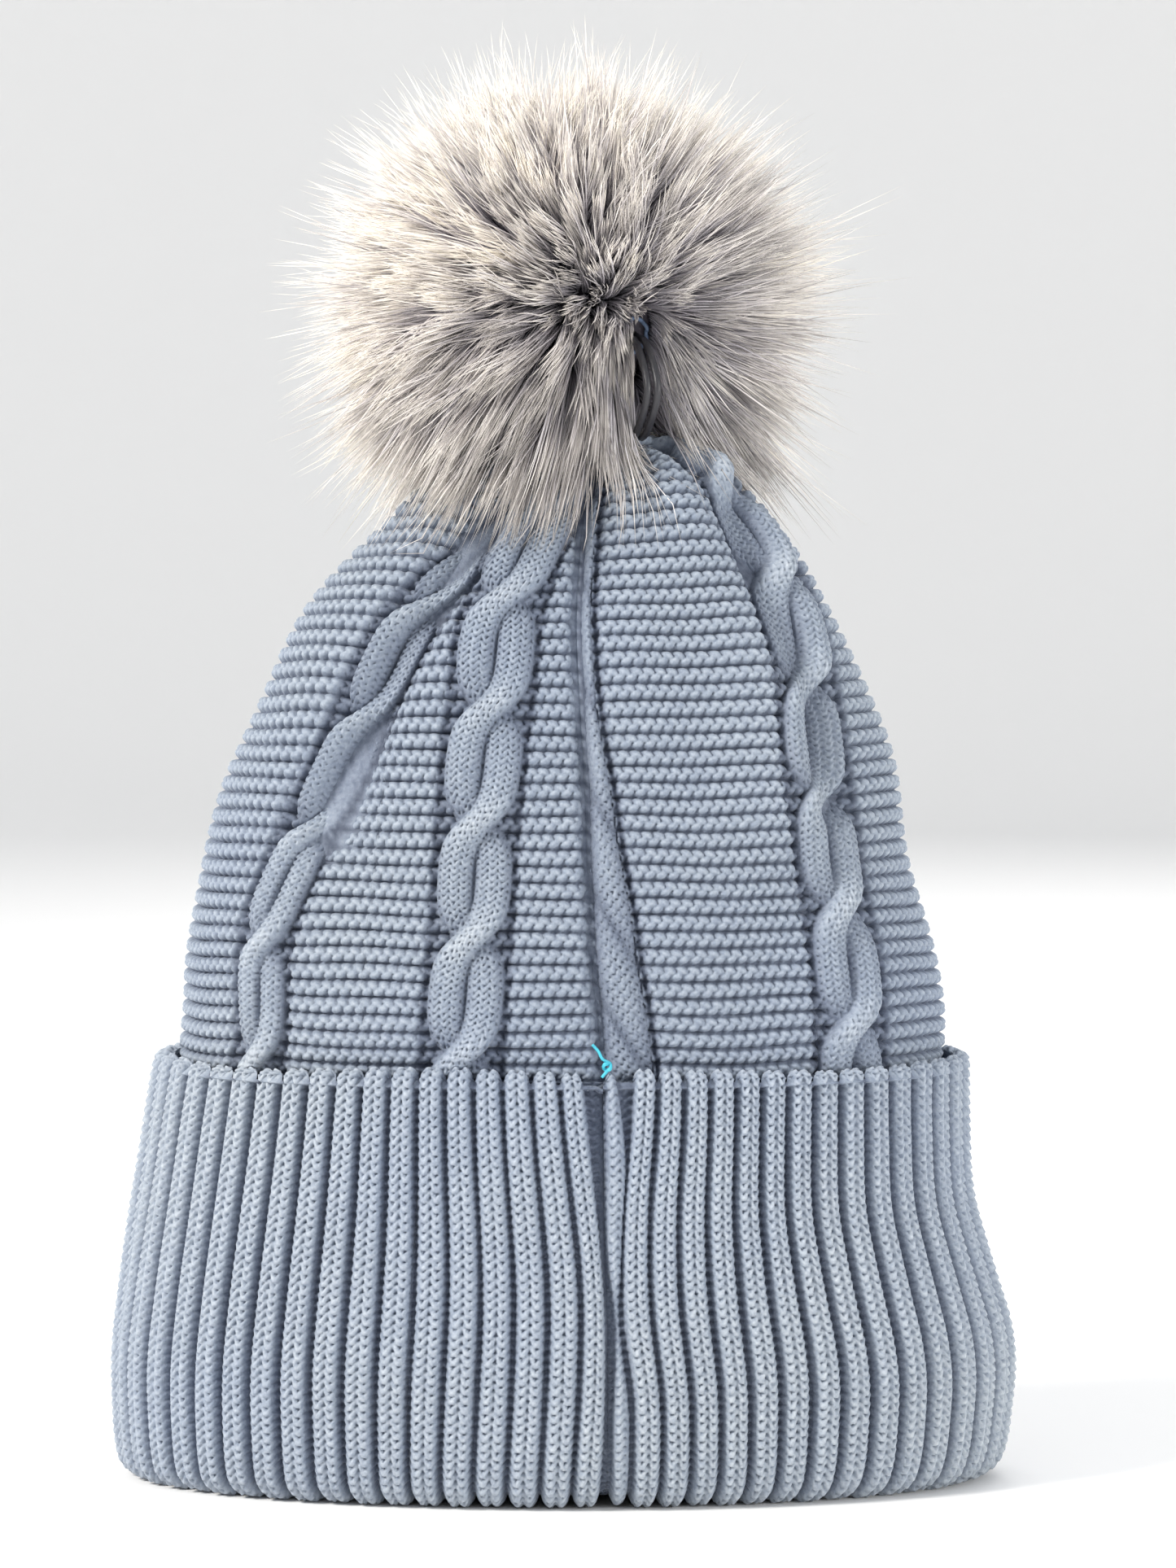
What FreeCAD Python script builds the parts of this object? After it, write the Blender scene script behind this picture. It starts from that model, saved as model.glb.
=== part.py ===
import FreeCAD, Part

import math
import os

from FreeCAD import Placement, Rotation, Vector

# Knitted beanie with a turned-up ribbed cuff and a detachable fur pom held by an elastic loop.
# Frame: millimetres, +Z from the head opening up to the crown, +X across the hat, -Y the seam side.
# Origin: middle of the head opening, in the plane of the cuff's folded hem.

doc = FreeCAD.newDocument("pom_pom_beanie")
sheet = doc.addObject("Spreadsheet::Sheet", "Sizes")
SIZES = {}
PARTS = []


def size(alias, value, note):
    """One driving dimension in its own cell of the sheet."""
    row = len(SIZES) + 1
    sheet.set(f"A{row}", note)
    sheet.set(f"B{row}", str(value))
    sheet.setAlias(f"B{row}", alias)
    SIZES[alias] = value


# The turned-up cuff, from its folded hem to its loose edge.
size("cuff_height", 102.0, "cuff, hem to loose edge")
size("hem_half_width", 101.5, "cuff at the hem, half across X")
size("hem_half_depth", 47.5, "cuff at the hem, half across Y")
size("roll_height", 10.0, "height of the end of the rounded hem")
size("roll_half_width", 106.8, "cuff there, half across X")
size("roll_half_depth", 51.2, "cuff there, half across Y")
size("belly_height", 28.0, "height of the widest course")
size("belly_half_width", 108.0, "cuff there, half across X")
size("belly_half_depth", 52.0, "cuff there, half across Y")
size("waist_height", 62.0, "height of the middle course")
size("waist_half_width", 102.2, "cuff there, half across X")
size("waist_half_depth", 49.4, "cuff there, half across Y")
size("edge_half_width", 96.6, "cuff at its loose edge, half across X")
size("edge_half_depth", 46.5, "cuff at its loose edge, half across Y")
size("cuff_thickness", 5.0, "the rib, turned up outside")
size("band_thickness", 4.5, "the rib, running on inside")
size("fold_height", 6.0, "top of the fold that joins the two rib layers")
size("layer_gap", 0.4, "air between two knitted layers")
size("cuff_tuck", 6.0, "how far the crown's first course lies below the cuff's edge")

# The knitted crown.
size("crown_height", 246.0, "gathered top of the crown")
size("crown_ease", 1.0, "crown's first course further inside the cuff's loose edge")
size("crown_thickness", 4.5, "the crown's knit")
size("crown_swell", 1.7, "how long the crown stays wide, an exponent")
size("crown_fullness", 2.3, "how round its shoulder is, an exponent")
size("crown_lean", 8.0, "how far the gathered top lies to +X")
size("gather_hole_radius", 3.6, "hole left by the gathering yarn")
size("gather_hole_offset", 8.0, "hole from the middle of the gather, to +X")
size("gather_hole_depth", 2.0, "hole from the middle of the gather, to -Y")
size("gather_ring_radius", 5.2, "middle line of the drawn-up yarn")
size("gather_yarn_radius", 1.1, "gathering yarn")

# Seams, thread and label.
size("seam_offset", 10.4, "back seam from the middle, to +X")
size("seam_width", 5.0, "overlocked seam allowance")
size("seam_thickness", 1.6, "overlocked seam allowance")
size("knot_radius", 1.6, "knot of the seam thread")
size("tail_radius", 0.3, "seam thread")
size("tail_length", 6.5, "cut end of the seam thread")
size("label_width", 30.0, "care label")
size("label_length", 42.0, "care label")
size("label_thickness", 0.6, "care label, two layers of satin")
size("label_height", 116.0, "bottom edge of the care label")

# Inner button.
size("button_radius", 8.0, "inner button")
size("button_thickness", 2.6, "inner button")
size("button_drop", 22.0, "button's centre below the gathered top")
size("button_stand", 7.0, "button's back face off the knit")
size("shank_radius", 0.6, "thread shank")

# The pom, on its elastic loop.
size("pom_half_width", 61.0, "dense fur, half across X")
size("pom_half_depth", 52.0, "dense fur, half across Y")
size("pom_half_height", 57.0, "dense fur, half across Z")
size("pom_shift", -16.0, "pom's middle from the gather hole, X")
size("pom_flop", 24.0, "pom's middle behind the gather hole, Y")
size("pom_rise", 35.0, "pom's middle above the gather hole, Z")
size("ball_radius", 29.0, "stitched backing ball")
size("backing_thickness", 1.2, "backing cloth")
size("exit_turn_x", 16.0, "loop's exit from the ball, X from the ball's middle")
size("exit_turn_z", 9.0, "loop's exit from the ball, below the ball's middle")
size("mouth_radius", 3.4, "drawn-up mouth of the ball")
size("closing_ring_radius", 4.4, "middle line of the closing thread")
size("closing_thread_radius", 0.5, "closing thread")
size("disc_radius", 7.0, "anchor disc inside the ball")
size("disc_thickness", 1.6, "anchor disc")
size("disc_hole_radius", 2.7, "hole of the anchor disc")
size("disc_depth", 5.0, "anchor disc's face below the ball's surface")
size("loop_knot_radius", 2.8, "knot behind the anchor disc")
size("cord_radius", 0.9, "elastic cord")
size("shank_clearance", 0.15, "air between the loop and the thread shank")
size("pile_clearance", 1.5, "fur clear of the crown, ring and cord")
doc.recompute()


def cell(alias):
    return f"Sizes.{alias}"


def value(alias):
    return SIZES[alias]


def part(item, name):
    """Keeps an object as a sub-part under its own name."""
    item.Label = name
    PARTS.append(item)
    return item


def boolean(kind, name, base, tool):
    item = doc.addObject(f"Part::{kind}", name)
    item.Base = base
    item.Tool = tool
    return item


def cut(name, base, *tools):
    """The base less each tool in turn."""
    for number, tool in enumerate(tools):
        last = number == len(tools) - 1
        base = boolean("Cut", name if last else f"{name}_step{number}", base, tool)
    return base


def oval(name, half_width, half_depth, height, shift="0"):
    """One knitted course: a flat oval at a height. Every size is a formula on the sheet."""
    item = doc.addObject("Part::Ellipse", name)
    item.setExpression("MajorRadius", half_width)
    item.setExpression("MinorRadius", half_depth)
    item.setExpression("Placement.Base.x", shift)
    item.setExpression("Placement.Base.z", height)
    return item


def loft(name, courses):
    item = doc.addObject("Part::Loft", name)
    item.Sections = courses
    item.Solid = True
    item.Ruled = False
    return item


def slab(name, low_x, width, low_y, depth, low_z, height):
    """A box whose corner and sides are formulas on the sheet."""
    item = doc.addObject("Part::Box", name)
    item.setExpression("Length", width)
    item.setExpression("Width", depth)
    item.setExpression("Height", height)
    item.setExpression("Placement.Base.x", low_x)
    item.setExpression("Placement.Base.y", low_y)
    item.setExpression("Placement.Base.z", low_z)
    return item


# ---------------------------------------------------------------- rib: cuff and inner band
CUFF_COURSES = ("hem", "roll", "belly", "waist", "edge")
OVERRUN = 1.0  # a cutting body runs this far past what it cuts


def cuff_form(name, inset, overrun):
    """The cuff's outer form pulled in by a formula, run past both ends by overrun."""
    heights = {
        "hem": f"-{overrun}",
        "roll": cell("roll_height"),
        "belly": cell("belly_height"),
        "waist": cell("waist_height"),
        "edge": f"{cell('cuff_height')} + {overrun}",
    }
    courses = []
    for course in CUFF_COURSES:
        width = f"{cell(course + '_half_width')} - ({inset})"
        depth = f"{cell(course + '_half_depth')} - ({inset})"
        courses.append(oval(f"{name}_{course}", width, depth, heights[course]))
    return loft(name, courses)


OUTSIDE = f"-{cell('belly_half_width')} - 10"
ACROSS = f"2 * {cell('belly_half_width')} + 20"
band_outside = f"({cell('cuff_thickness')} + {cell('layer_gap')})"
band_inside = f"{band_outside} + {cell('band_thickness')}"
seam_inside = f"{band_inside} + {cell('seam_thickness')}"
band_top = f"{cell('cuff_height')} - {cell('cuff_tuck')}"
band_reach = f"{cell('cuff_height')} - {cell('cuff_tuck')} - {cell('fold_height')}"

cuff_outer = cuff_form("cuff_outer", "0", 0)
cuff_cavity = cuff_form("cuff_cavity", cell("cuff_thickness"), OVERRUN)
above_fold = slab("above_fold", OUTSIDE, ACROSS, OUTSIDE, ACROSS, cell("fold_height"), cell("cuff_height"))
cuff_pocket = boolean("Common", "cuff_pocket", cuff_cavity, above_fold)
head_passage = cuff_form("head_passage", band_inside, OVERRUN)
cuff = part(cut("cuff", cuff_outer, cuff_pocket, head_passage), "rib_turned_up_cuff")

band_outer = cuff_form("band_outer", band_outside, OVERRUN)
band_cavity = cuff_form("band_cavity", band_inside, OVERRUN)
band_tube = cut("band_tube", band_outer, band_cavity)
band_slab = slab("band_slab", OUTSIDE, ACROSS, OUTSIDE, ACROSS, cell("fold_height"), band_reach)
band = part(boolean("Common", "band", band_tube, band_slab), "rib_inner_band")

# ---------------------------------------------------------------- crown
COURSE_SHARES = (0.0, 0.2, 0.4, 0.58, 0.72, 0.83, 0.91, 0.97)  # of the way up, closest at the shoulder
TOP_SHARE = COURSE_SHARES[-1]
LEAN_POWER = 6  # the gather leans only near its top


def crown_form(name, grow, drop=0.0):
    """The crown's outer form grown all round by a formula, its first course lowered by drop."""
    base_width = f"{cell('edge_half_width')} - {band_outside} - {cell('crown_ease')} + ({grow})"
    base_depth = f"{cell('edge_half_depth')} - {band_outside} - {cell('crown_ease')} + ({grow})"
    rise = f"({cell('crown_height')} + ({grow}) - ({band_top}))"
    courses = []
    for number, share in enumerate(COURSE_SHARES):
        round_off = f"(1 - {share}^{cell('crown_swell')})^(1 / {cell('crown_fullness')})"
        width = f"({base_width}) * {round_off}"
        depth = f"({base_depth}) * {round_off}"
        height = f"{band_top} + {rise} * {share} / {TOP_SHARE}"
        if number == 0:
            height = f"{height} - {drop}"
        shift = f"{cell('crown_lean')} * {(share / TOP_SHARE) ** LEAN_POWER}"
        courses.append(oval(f"{name}_{number}", width, depth, height, shift))
    return loft(name, courses)


hole_x = f"{cell('crown_lean')} + {cell('gather_hole_offset')}"
hole_y = f"-{cell('gather_hole_depth')}"

crown_outer = crown_form("crown_outer", "0")
crown_cavity = crown_form("crown_cavity", f"-{cell('crown_thickness')}", OVERRUN)
gather_hole = doc.addObject("Part::Cylinder", "gather_hole")
gather_hole.setExpression("Radius", cell("gather_hole_radius"))
gather_hole.setExpression("Height", f"4 * {cell('crown_thickness')}")
gather_hole.setExpression("Placement.Base.x", hole_x)
gather_hole.setExpression("Placement.Base.y", hole_y)
gather_hole.setExpression("Placement.Base.z", f"{cell('crown_height')} - 3 * {cell('crown_thickness')}")
crown = part(cut("crown", crown_outer, crown_cavity, gather_hole), "knit_crown")

gather_yarn = part(doc.addObject("Part::Torus", "gather_yarn"), "crown_gathering_yarn")
gather_yarn.setExpression("Radius1", cell("gather_ring_radius"))
gather_yarn.setExpression("Radius2", cell("gather_yarn_radius"))
gather_yarn.setExpression("Placement.Base.x", hole_x)
gather_yarn.setExpression("Placement.Base.y", hole_y)
gather_yarn.setExpression("Placement.Base.z", f"{cell('crown_height')} + {cell('gather_yarn_radius')}")

# ---------------------------------------------------------------- seams, knot and label
seam_low = f"{cell('seam_offset')} - {cell('seam_width')} / 2"
SEAM_SHARE = 0.72  # of the crown's height, where the seam allowance is trimmed away


def lining_strip(name, cavity, inner, low_x, width, low_z, height):
    """A strip that lies on the inside of the back wall, between two nested forms."""
    skin = cut(f"{name}_skin", cavity, inner)
    gate = slab(f"{name}_gate", low_x, width, OUTSIDE, f"-({OUTSIDE})", low_z, height)
    return boolean("Common", name, skin, gate)


under_crown = f"-{cell('crown_thickness')}"
crown_seam_inner = crown_form("crown_seam_inner", f"{under_crown} - {cell('seam_thickness')}", OVERRUN)
crown_seam_cavity = crown_form("crown_seam_cavity", under_crown, OVERRUN)
crown_seam = lining_strip(
    "crown_seam",
    crown_seam_cavity,
    crown_seam_inner,
    seam_low,
    cell("seam_width"),
    f"{band_top} + {cell('layer_gap')}",
    f"({cell('crown_height')} - ({band_top})) * {SEAM_SHARE}",
)
part(crown_seam, "crown_seam_thread")

rib_seam_cavity = cuff_form("rib_seam_cavity", band_inside, OVERRUN)
rib_seam_inner = cuff_form("rib_seam_inner", seam_inside, OVERRUN)
rib_seam = lining_strip(
    "rib_seam",
    rib_seam_cavity,
    rib_seam_inner,
    seam_low,
    cell("seam_width"),
    cell("fold_height"),
    f"{band_reach} - {cell('layer_gap')}",
)
part(rib_seam, "rib_seam_thread")

label_inner = crown_form("label_inner", f"{under_crown} - {cell('label_thickness')}", OVERRUN)
label_cavity = crown_form("label_cavity", under_crown, OVERRUN)
label = lining_strip(
    "label",
    label_cavity,
    label_inner,
    f"{seam_low} - {cell('layer_gap')} - {cell('label_width')}",
    cell("label_width"),
    cell("label_height"),
    cell("label_length"),
)
part(label, "care_label")

knot_depth = f"-({cell('edge_half_depth')} - {cell('cuff_thickness')} / 2)"
KNOT_FLAT = 0.8  # height of the knot over its width
knot_ball = doc.addObject("Part::Ellipsoid", "knot_ball")
knot_ball.setExpression("Radius1", f"{cell('knot_radius')} * {KNOT_FLAT}")
knot_ball.setExpression("Radius2", cell("knot_radius"))
knot_ball.setExpression("Radius3", cell("knot_radius"))
knot_ball.setExpression("Placement.Base.x", cell("seam_offset"))
knot_ball.setExpression("Placement.Base.y", knot_depth)
knot_ball.setExpression("Placement.Base.z", f"{cell('cuff_height')} + {cell('knot_radius')} * {KNOT_FLAT}")
TAIL_LEAN = 35.0  # degrees that the cut end leans to -X
knot_tail = doc.addObject("Part::Cylinder", "knot_tail")
knot_tail.setExpression("Radius", cell("tail_radius"))
knot_tail.setExpression("Height", cell("tail_length"))
knot_tail.Placement = Placement(Vector(0, 0, 0), Rotation(Vector(0, 1, 0), -TAIL_LEAN))
knot_tail.setExpression("Placement.Base.x", cell("seam_offset"))
knot_tail.setExpression("Placement.Base.y", knot_depth)
knot_tail.setExpression("Placement.Base.z", f"{cell('cuff_height')} + {cell('knot_radius')} * {KNOT_FLAT}")
part(boolean("Fuse", "knot", knot_ball, knot_tail), "seam_thread_knot")

# ---------------------------------------------------------------- places of the pom and the loop
gather_x = value("crown_lean") + value("gather_hole_offset")
gather = Vector(gather_x, -value("gather_hole_depth"), value("crown_height"))
ball_centre = gather + Vector(value("pom_shift"), value("pom_flop"), value("pom_rise"))
exit_reach = (value("ball_radius") ** 2 - value("exit_turn_x") ** 2 - value("exit_turn_z") ** 2) ** 0.5
outward = Vector(value("exit_turn_x"), -exit_reach, -value("exit_turn_z")) * (1 / value("ball_radius"))
exit_turn = Rotation(Vector(0, 0, 1), outward)


def on_exit(height):
    """A placement whose Z runs out of the ball's mouth, at a distance from the ball's middle."""
    return Placement(ball_centre + outward * height, exit_turn)


def rod(name, radius, length, low, where=None):
    """A cylinder along the ball's exit line, or upright at where."""
    item = doc.addObject("Part::Cylinder", name)
    item.setExpression("Radius", radius)
    item.setExpression("Height", length)
    item.Placement = on_exit(low) if where is None else Placement(where, Rotation())
    return item


def ball(name, radius):
    item = doc.addObject("Part::Sphere", name)
    item.setExpression("Radius", radius)
    item.setExpression("Placement.Base.x", f"{hole_x} + {cell('pom_shift')}")
    item.setExpression("Placement.Base.y", f"{hole_y} + {cell('pom_flop')}")
    item.setExpression("Placement.Base.z", f"{cell('crown_height')} + {cell('pom_rise')}")
    return item


# ---------------------------------------------------------------- inner button on its thread shank
button_z = value("crown_height") - value("button_drop")
share = (button_z - value("cuff_height") + value("cuff_tuck")) * TOP_SHARE
share /= value("crown_height") - value("crown_thickness") - value("cuff_height") + value("cuff_tuck")
wall_base = value("edge_half_depth") - value("cuff_thickness") - value("layer_gap")
wall_base -= value("crown_ease") + value("crown_thickness")
wall_y = -wall_base * (1 - share ** value("crown_swell")) ** (1 / value("crown_fullness"))
inwards = Rotation(Vector(1, 0, 0), -90)  # Z of the button's cylinders runs to +Y, off the back wall

SHANK_START = 1.0  # the shank stops this far off the curved wall
SHANK_END = 0.3  # and this far off the button
shank = doc.addObject("Part::Cylinder", "shank")
shank.setExpression("Radius", cell("shank_radius"))
shank.setExpression("Height", f"{cell('button_stand')} - {SHANK_START + SHANK_END}")
shank.Placement = Placement(Vector(gather.x, wall_y + SHANK_START, button_z), inwards)
part(shank, "button_thread")
disc = doc.addObject("Part::Cylinder", "button_disc")
disc.setExpression("Radius", cell("button_radius"))
disc.setExpression("Height", cell("button_thickness"))
disc.Placement = Placement(Vector(gather.x, wall_y + value("button_stand"), button_z), inwards)
ROUNDING_SHARE = 0.35  # of the button's thickness
button = doc.addObject("Part::Fillet", "button")
button.Base = disc
doc.recompute()
rounding = value("button_thickness") * ROUNDING_SHARE
rims = [number for number, edge in enumerate(disc.Shape.Edges, 1) if len(edge.Vertexes) == 1]
button.Edges = [(number, rounding, rounding) for number in rims]
part(button, "inner_button")


# ---------------------------------------------------------------- elastic loop
RUN_SHARE = 0.45  # of the shorter of two runs, which their arc may take


def rounded_route(points):
    """Edges of straight runs joined by tangent arcs, each as large as its two runs allow."""
    edges = []
    start = points[0]
    for before, corner, after in zip(points, points[1:], points[2:]):
        back = before - corner
        ahead = after - corner
        setback = RUN_SHARE * min(back.Length, ahead.Length)
        half_angle = back.getAngle(ahead) / 2
        radius = setback * math.tan(half_angle)
        reach = radius / math.sin(half_angle) - radius
        back.normalize()
        ahead.normalize()
        middle = (back + ahead).normalize()
        arc_in = corner + back * setback
        arc_out = corner + ahead * setback
        edges.append(Part.LineSegment(start, arc_in).toShape())
        edges.append(Part.Arc(arc_in, corner + middle * reach, arc_out).toShape())
        start = arc_out
        print(f"loop bend radius {radius:.1f} mm")
    edges.append(Part.LineSegment(start, points[-1]).toShape())
    return edges


def tube(edges, radius):
    """A round tube along joined edges."""
    path = Part.Wire(edges)
    first = edges[0]
    along = first.tangentAt(first.FirstParameter)
    section = Part.Wire(Part.Circle(first.valueAt(first.FirstParameter), along, radius).toShape())
    return path.makePipeShell([section], True, True)


def feature(name, shape):
    item = doc.addObject("Part::Feature", name)
    item.Shape = shape
    return item


KNOT_GAP = 1.1  # cord ends stop this far from the knot they run into
disc_face = value("ball_radius") - value("disc_depth")
knot_middle = disc_face - value("disc_thickness") - value("loop_knot_radius")
cord_end = ball_centre + outward * (knot_middle + value("loop_knot_radius") + KNOT_GAP)
mouth = ball_centre + outward * value("ball_radius")
aside = Vector(value("shank_radius") + value("shank_clearance") + value("cord_radius"), 0, 0)
turn_middle = Vector(gather.x, wall_y + value("button_stand") / 2, button_z)
over_button = turn_middle + Vector(0, 2.6, value("button_radius") + 1.5)

# The middle line between the strands, from the anchor disc down to the inner button.
loop_route = [
    cord_end,
    mouth,
    gather + Vector(3.0, -3.5, 17.0),
    gather + Vector(1.0, -1.0, 8.0),
    gather - Vector(0, 0, value("crown_thickness") + 1.5),
    over_button,
    turn_middle,
]
strand_down = rounded_route([point - aside for point in loop_route])
strand_up = rounded_route([point + aside for point in reversed(loop_route)])
under_shank = turn_middle - Vector(0, 0, aside.x)
turn = Part.Arc(turn_middle - aside, under_shank, turn_middle + aside).toShape()
loop_shape = tube(strand_down + [turn] + strand_up, value("cord_radius"))
part(feature("loop", loop_shape), "elastic_loop")

channel_radius = aside.x + value("cord_radius") + value("pile_clearance")
channel = feature("loop_channel", tube(rounded_route(loop_route[1:5]), channel_radius))

# ---------------------------------------------------------------- pom
loop_knot = doc.addObject("Part::Sphere", "loop_knot_ball")
loop_knot.setExpression("Radius", cell("loop_knot_radius"))
loop_knot.Placement = on_exit(knot_middle)
part(loop_knot, "loop_knot")

disc_back = disc_face - value("disc_thickness")
disc_blank = rod("disc_blank", cell("disc_radius"), cell("disc_thickness"), disc_back)
hole_length = f"3 * {cell('disc_thickness')}"
disc_hole = rod("disc_hole", cell("disc_hole_radius"), hole_length, disc_face - 2 * value("disc_thickness"))
part(cut("anchor_disc", disc_blank, disc_hole), "pom_anchor_disc")

backing_outer = ball("backing_outer", cell("ball_radius"))
backing_hollow = ball("backing_hollow", f"{cell('ball_radius')} - {cell('backing_thickness')}")
backing_mouth = rod("backing_mouth", cell("mouth_radius"), f"2 * {cell('ball_radius')}", 0)
part(cut("backing", backing_outer, backing_hollow, backing_mouth), "pom_backing")

STUFFING_GAP = 0.2  # stuffing off the backing cloth, and round the disc and the knot
stuffing_ball = ball("stuffing_ball", f"{cell('ball_radius')} - {cell('backing_thickness')} - {STUFFING_GAP}")
pocket_low = disc_back - STUFFING_GAP
disc_pocket = rod("disc_pocket", f"{cell('disc_radius')} + {STUFFING_GAP}", cell("ball_radius"), pocket_low)
knot_low = knot_middle - value("loop_knot_radius") - STUFFING_GAP
knot_room = f"{cell('loop_knot_radius')} + {STUFFING_GAP}"
knot_pocket = rod("knot_pocket", knot_room, cell("ball_radius"), knot_low)
part(cut("stuffing", stuffing_ball, disc_pocket, knot_pocket), "pom_stuffing")

closing = doc.addObject("Part::Torus", "closing")
closing.setExpression("Radius1", cell("closing_ring_radius"))
closing.setExpression("Radius2", cell("closing_thread_radius"))
closing.Placement = on_exit(value("ball_radius") + value("closing_thread_radius"))
part(closing, "pom_closing_thread")

pile_form = doc.addObject("Part::Ellipsoid", "pile_form")
pile_form.setExpression("Radius2", cell("pom_half_width"))
pile_form.setExpression("Radius3", cell("pom_half_depth"))
pile_form.setExpression("Radius1", cell("pom_half_height"))
pile_form.setExpression("Placement.Base.x", f"{hole_x} + {cell('pom_shift')}")
pile_form.setExpression("Placement.Base.y", f"{hole_y} + {cell('pom_flop')}")
pile_form.setExpression("Placement.Base.z", f"{cell('crown_height')} + {cell('pom_rise')}")
pile_ball = ball("pile_ball", cell("ball_radius"))
crown_room = crown_form("crown_room", cell("pile_clearance"))
ring_room = rod(
    "ring_room",
    f"{cell('gather_ring_radius')} + {cell('gather_yarn_radius')} + {cell('pile_clearance')}",
    f"2 * {cell('gather_yarn_radius')} + 2 * {cell('pile_clearance')}",
    0,
    gather - Vector(0, 0, value("pile_clearance")),
)
mouth_room = rod(
    "mouth_room",
    f"{cell('closing_ring_radius')} + {cell('closing_thread_radius')} + {cell('pile_clearance')} / 2",
    f"2 * {cell('closing_thread_radius')} + {cell('pile_clearance')} + 2",
    value("ball_radius") - 2,
)
pile = cut("pile", pile_form, pile_ball, crown_room, ring_room, mouth_room, channel)
part(pile, "pom_fur_pile")

# ---------------------------------------------------------------- check and write
doc.recompute()
for item in doc.Objects:
    if "Invalid" in item.State or "Error" in item.State:
        raise RuntimeError(f"{item.Name} did not build: {item.State}")
for item in PARTS:
    if item.Shape.isNull() or not item.Shape.isValid():
        raise RuntimeError(f"{item.Label} has no valid shape")

os.makedirs("parts", exist_ok=True)
for item in PARTS:
    item.Shape.exportStep(f"parts/{item.Label}.step")
    box = item.Shape.optimalBoundingBox()
    low = f"{box.XMin:7.1f} {box.YMin:7.1f} {box.ZMin:7.1f}"
    high = f"{box.XMax:7.1f} {box.YMax:7.1f} {box.ZMax:7.1f}"
    print(f"{item.Label:22s} {item.Shape.Volume / 1000:8.2f} cm3 {low} to {high}")
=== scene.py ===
from math import asin, atan2, ceil, cos, hypot, log, pi, radians, sin, sqrt, tanh

import bpy
import numpy as np
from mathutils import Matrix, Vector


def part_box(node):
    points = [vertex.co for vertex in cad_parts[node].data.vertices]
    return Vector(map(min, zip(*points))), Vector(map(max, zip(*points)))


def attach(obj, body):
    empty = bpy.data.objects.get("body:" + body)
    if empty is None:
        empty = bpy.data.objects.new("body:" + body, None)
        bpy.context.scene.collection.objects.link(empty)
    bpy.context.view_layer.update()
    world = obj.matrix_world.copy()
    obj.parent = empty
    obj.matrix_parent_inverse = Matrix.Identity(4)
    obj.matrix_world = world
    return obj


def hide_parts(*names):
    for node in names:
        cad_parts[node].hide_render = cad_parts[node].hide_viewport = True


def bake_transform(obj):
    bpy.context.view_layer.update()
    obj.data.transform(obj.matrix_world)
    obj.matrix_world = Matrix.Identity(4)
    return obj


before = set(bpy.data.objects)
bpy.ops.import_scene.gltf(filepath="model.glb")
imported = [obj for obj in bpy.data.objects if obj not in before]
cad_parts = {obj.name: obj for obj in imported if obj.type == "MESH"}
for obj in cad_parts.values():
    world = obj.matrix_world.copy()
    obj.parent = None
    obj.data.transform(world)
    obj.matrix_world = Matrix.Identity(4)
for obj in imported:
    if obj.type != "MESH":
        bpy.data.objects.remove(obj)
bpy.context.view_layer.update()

MM = 0.001  # shapes are worked out in millimetres


def node_box(node):
    """A CAD node's lowest and highest corners, in millimetres."""
    low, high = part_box(node)
    return np.array(low) / MM, np.array(high) / MM


CUFF_LOW, CUFF_HIGH = node_box("rib_turned_up_cuff")
CUFF_TOP = CUFF_HIGH[2]
CROWN_LOW, CROWN_HIGH = node_box("knit_crown")
CROWN_TOP = CROWN_HIGH[2]
BALL_LOW, BALL_HIGH = node_box("pom_backing")
BALL_RADIUS = (BALL_HIGH[2] - BALL_LOW[2]) / 2
BALL_CENTRE = np.array(
    [(BALL_LOW[0] + BALL_HIGH[0]) / 2, BALL_HIGH[1] - BALL_RADIUS, BALL_HIGH[2] - BALL_RADIUS]
)
RING_LOW, RING_HIGH = node_box("crown_gathering_yarn")
GATHER = np.array([(RING_LOW[0] + RING_HIGH[0]) / 2, (RING_LOW[1] + RING_HIGH[1]) / 2, CROWN_TOP])
MOUTH_LOW, MOUTH_HIGH = node_box("pom_closing_thread")
MOUTH = (MOUTH_LOW + MOUTH_HIGH) / 2
KNOT_LOW, KNOT_HIGH = node_box("seam_thread_knot")
SEAM_X = node_box("rib_seam_thread")[0][0] + 2.5


# ---- camera, light and floor
CAMERA_TARGET = np.array([0.006, -0.03, 0.1675])
CAMERA_DISTANCE = 1.25
CAMERA_ELEVATION = radians(3.5)
CAMERA_LENS = 123.5
SENSOR_WIDTH = 36.0
FLOOR_RADIUS = 2.2  # the flat part; beyond it the floor curves up
FLOOR_CURVE = 0.9
FLOOR_EDGE_HEIGHT = 3.0
PAPER = (0.93, 0.93, 0.93, 1)
SKY = (0.93, 0.96, 1.0, 1)
SKY_STRENGTH = 0.56


def give(node, values):
    """Constants set on a node's inputs."""
    for name, value in values.items():
        node.inputs[name].default_value = value


def link(name, data):
    """A new object in the scene."""
    thing = bpy.data.objects.new(name, data)
    bpy.context.collection.objects.link(thing)
    return thing


def make_camera():
    """Square on to the seam side, a little above the horizontal, from about arm's length."""
    data = bpy.data.cameras.new("camera")
    data.sensor_width = SENSOR_WIDTH
    data.lens = CAMERA_LENS
    camera = link("camera", data)
    away = np.array([0, -cos(CAMERA_ELEVATION), sin(CAMERA_ELEVATION)])
    camera.location = CAMERA_TARGET + CAMERA_DISTANCE * away
    camera.rotation_euler = (pi / 2 - CAMERA_ELEVATION, 0, 0)
    bpy.context.scene.camera = camera


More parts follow.
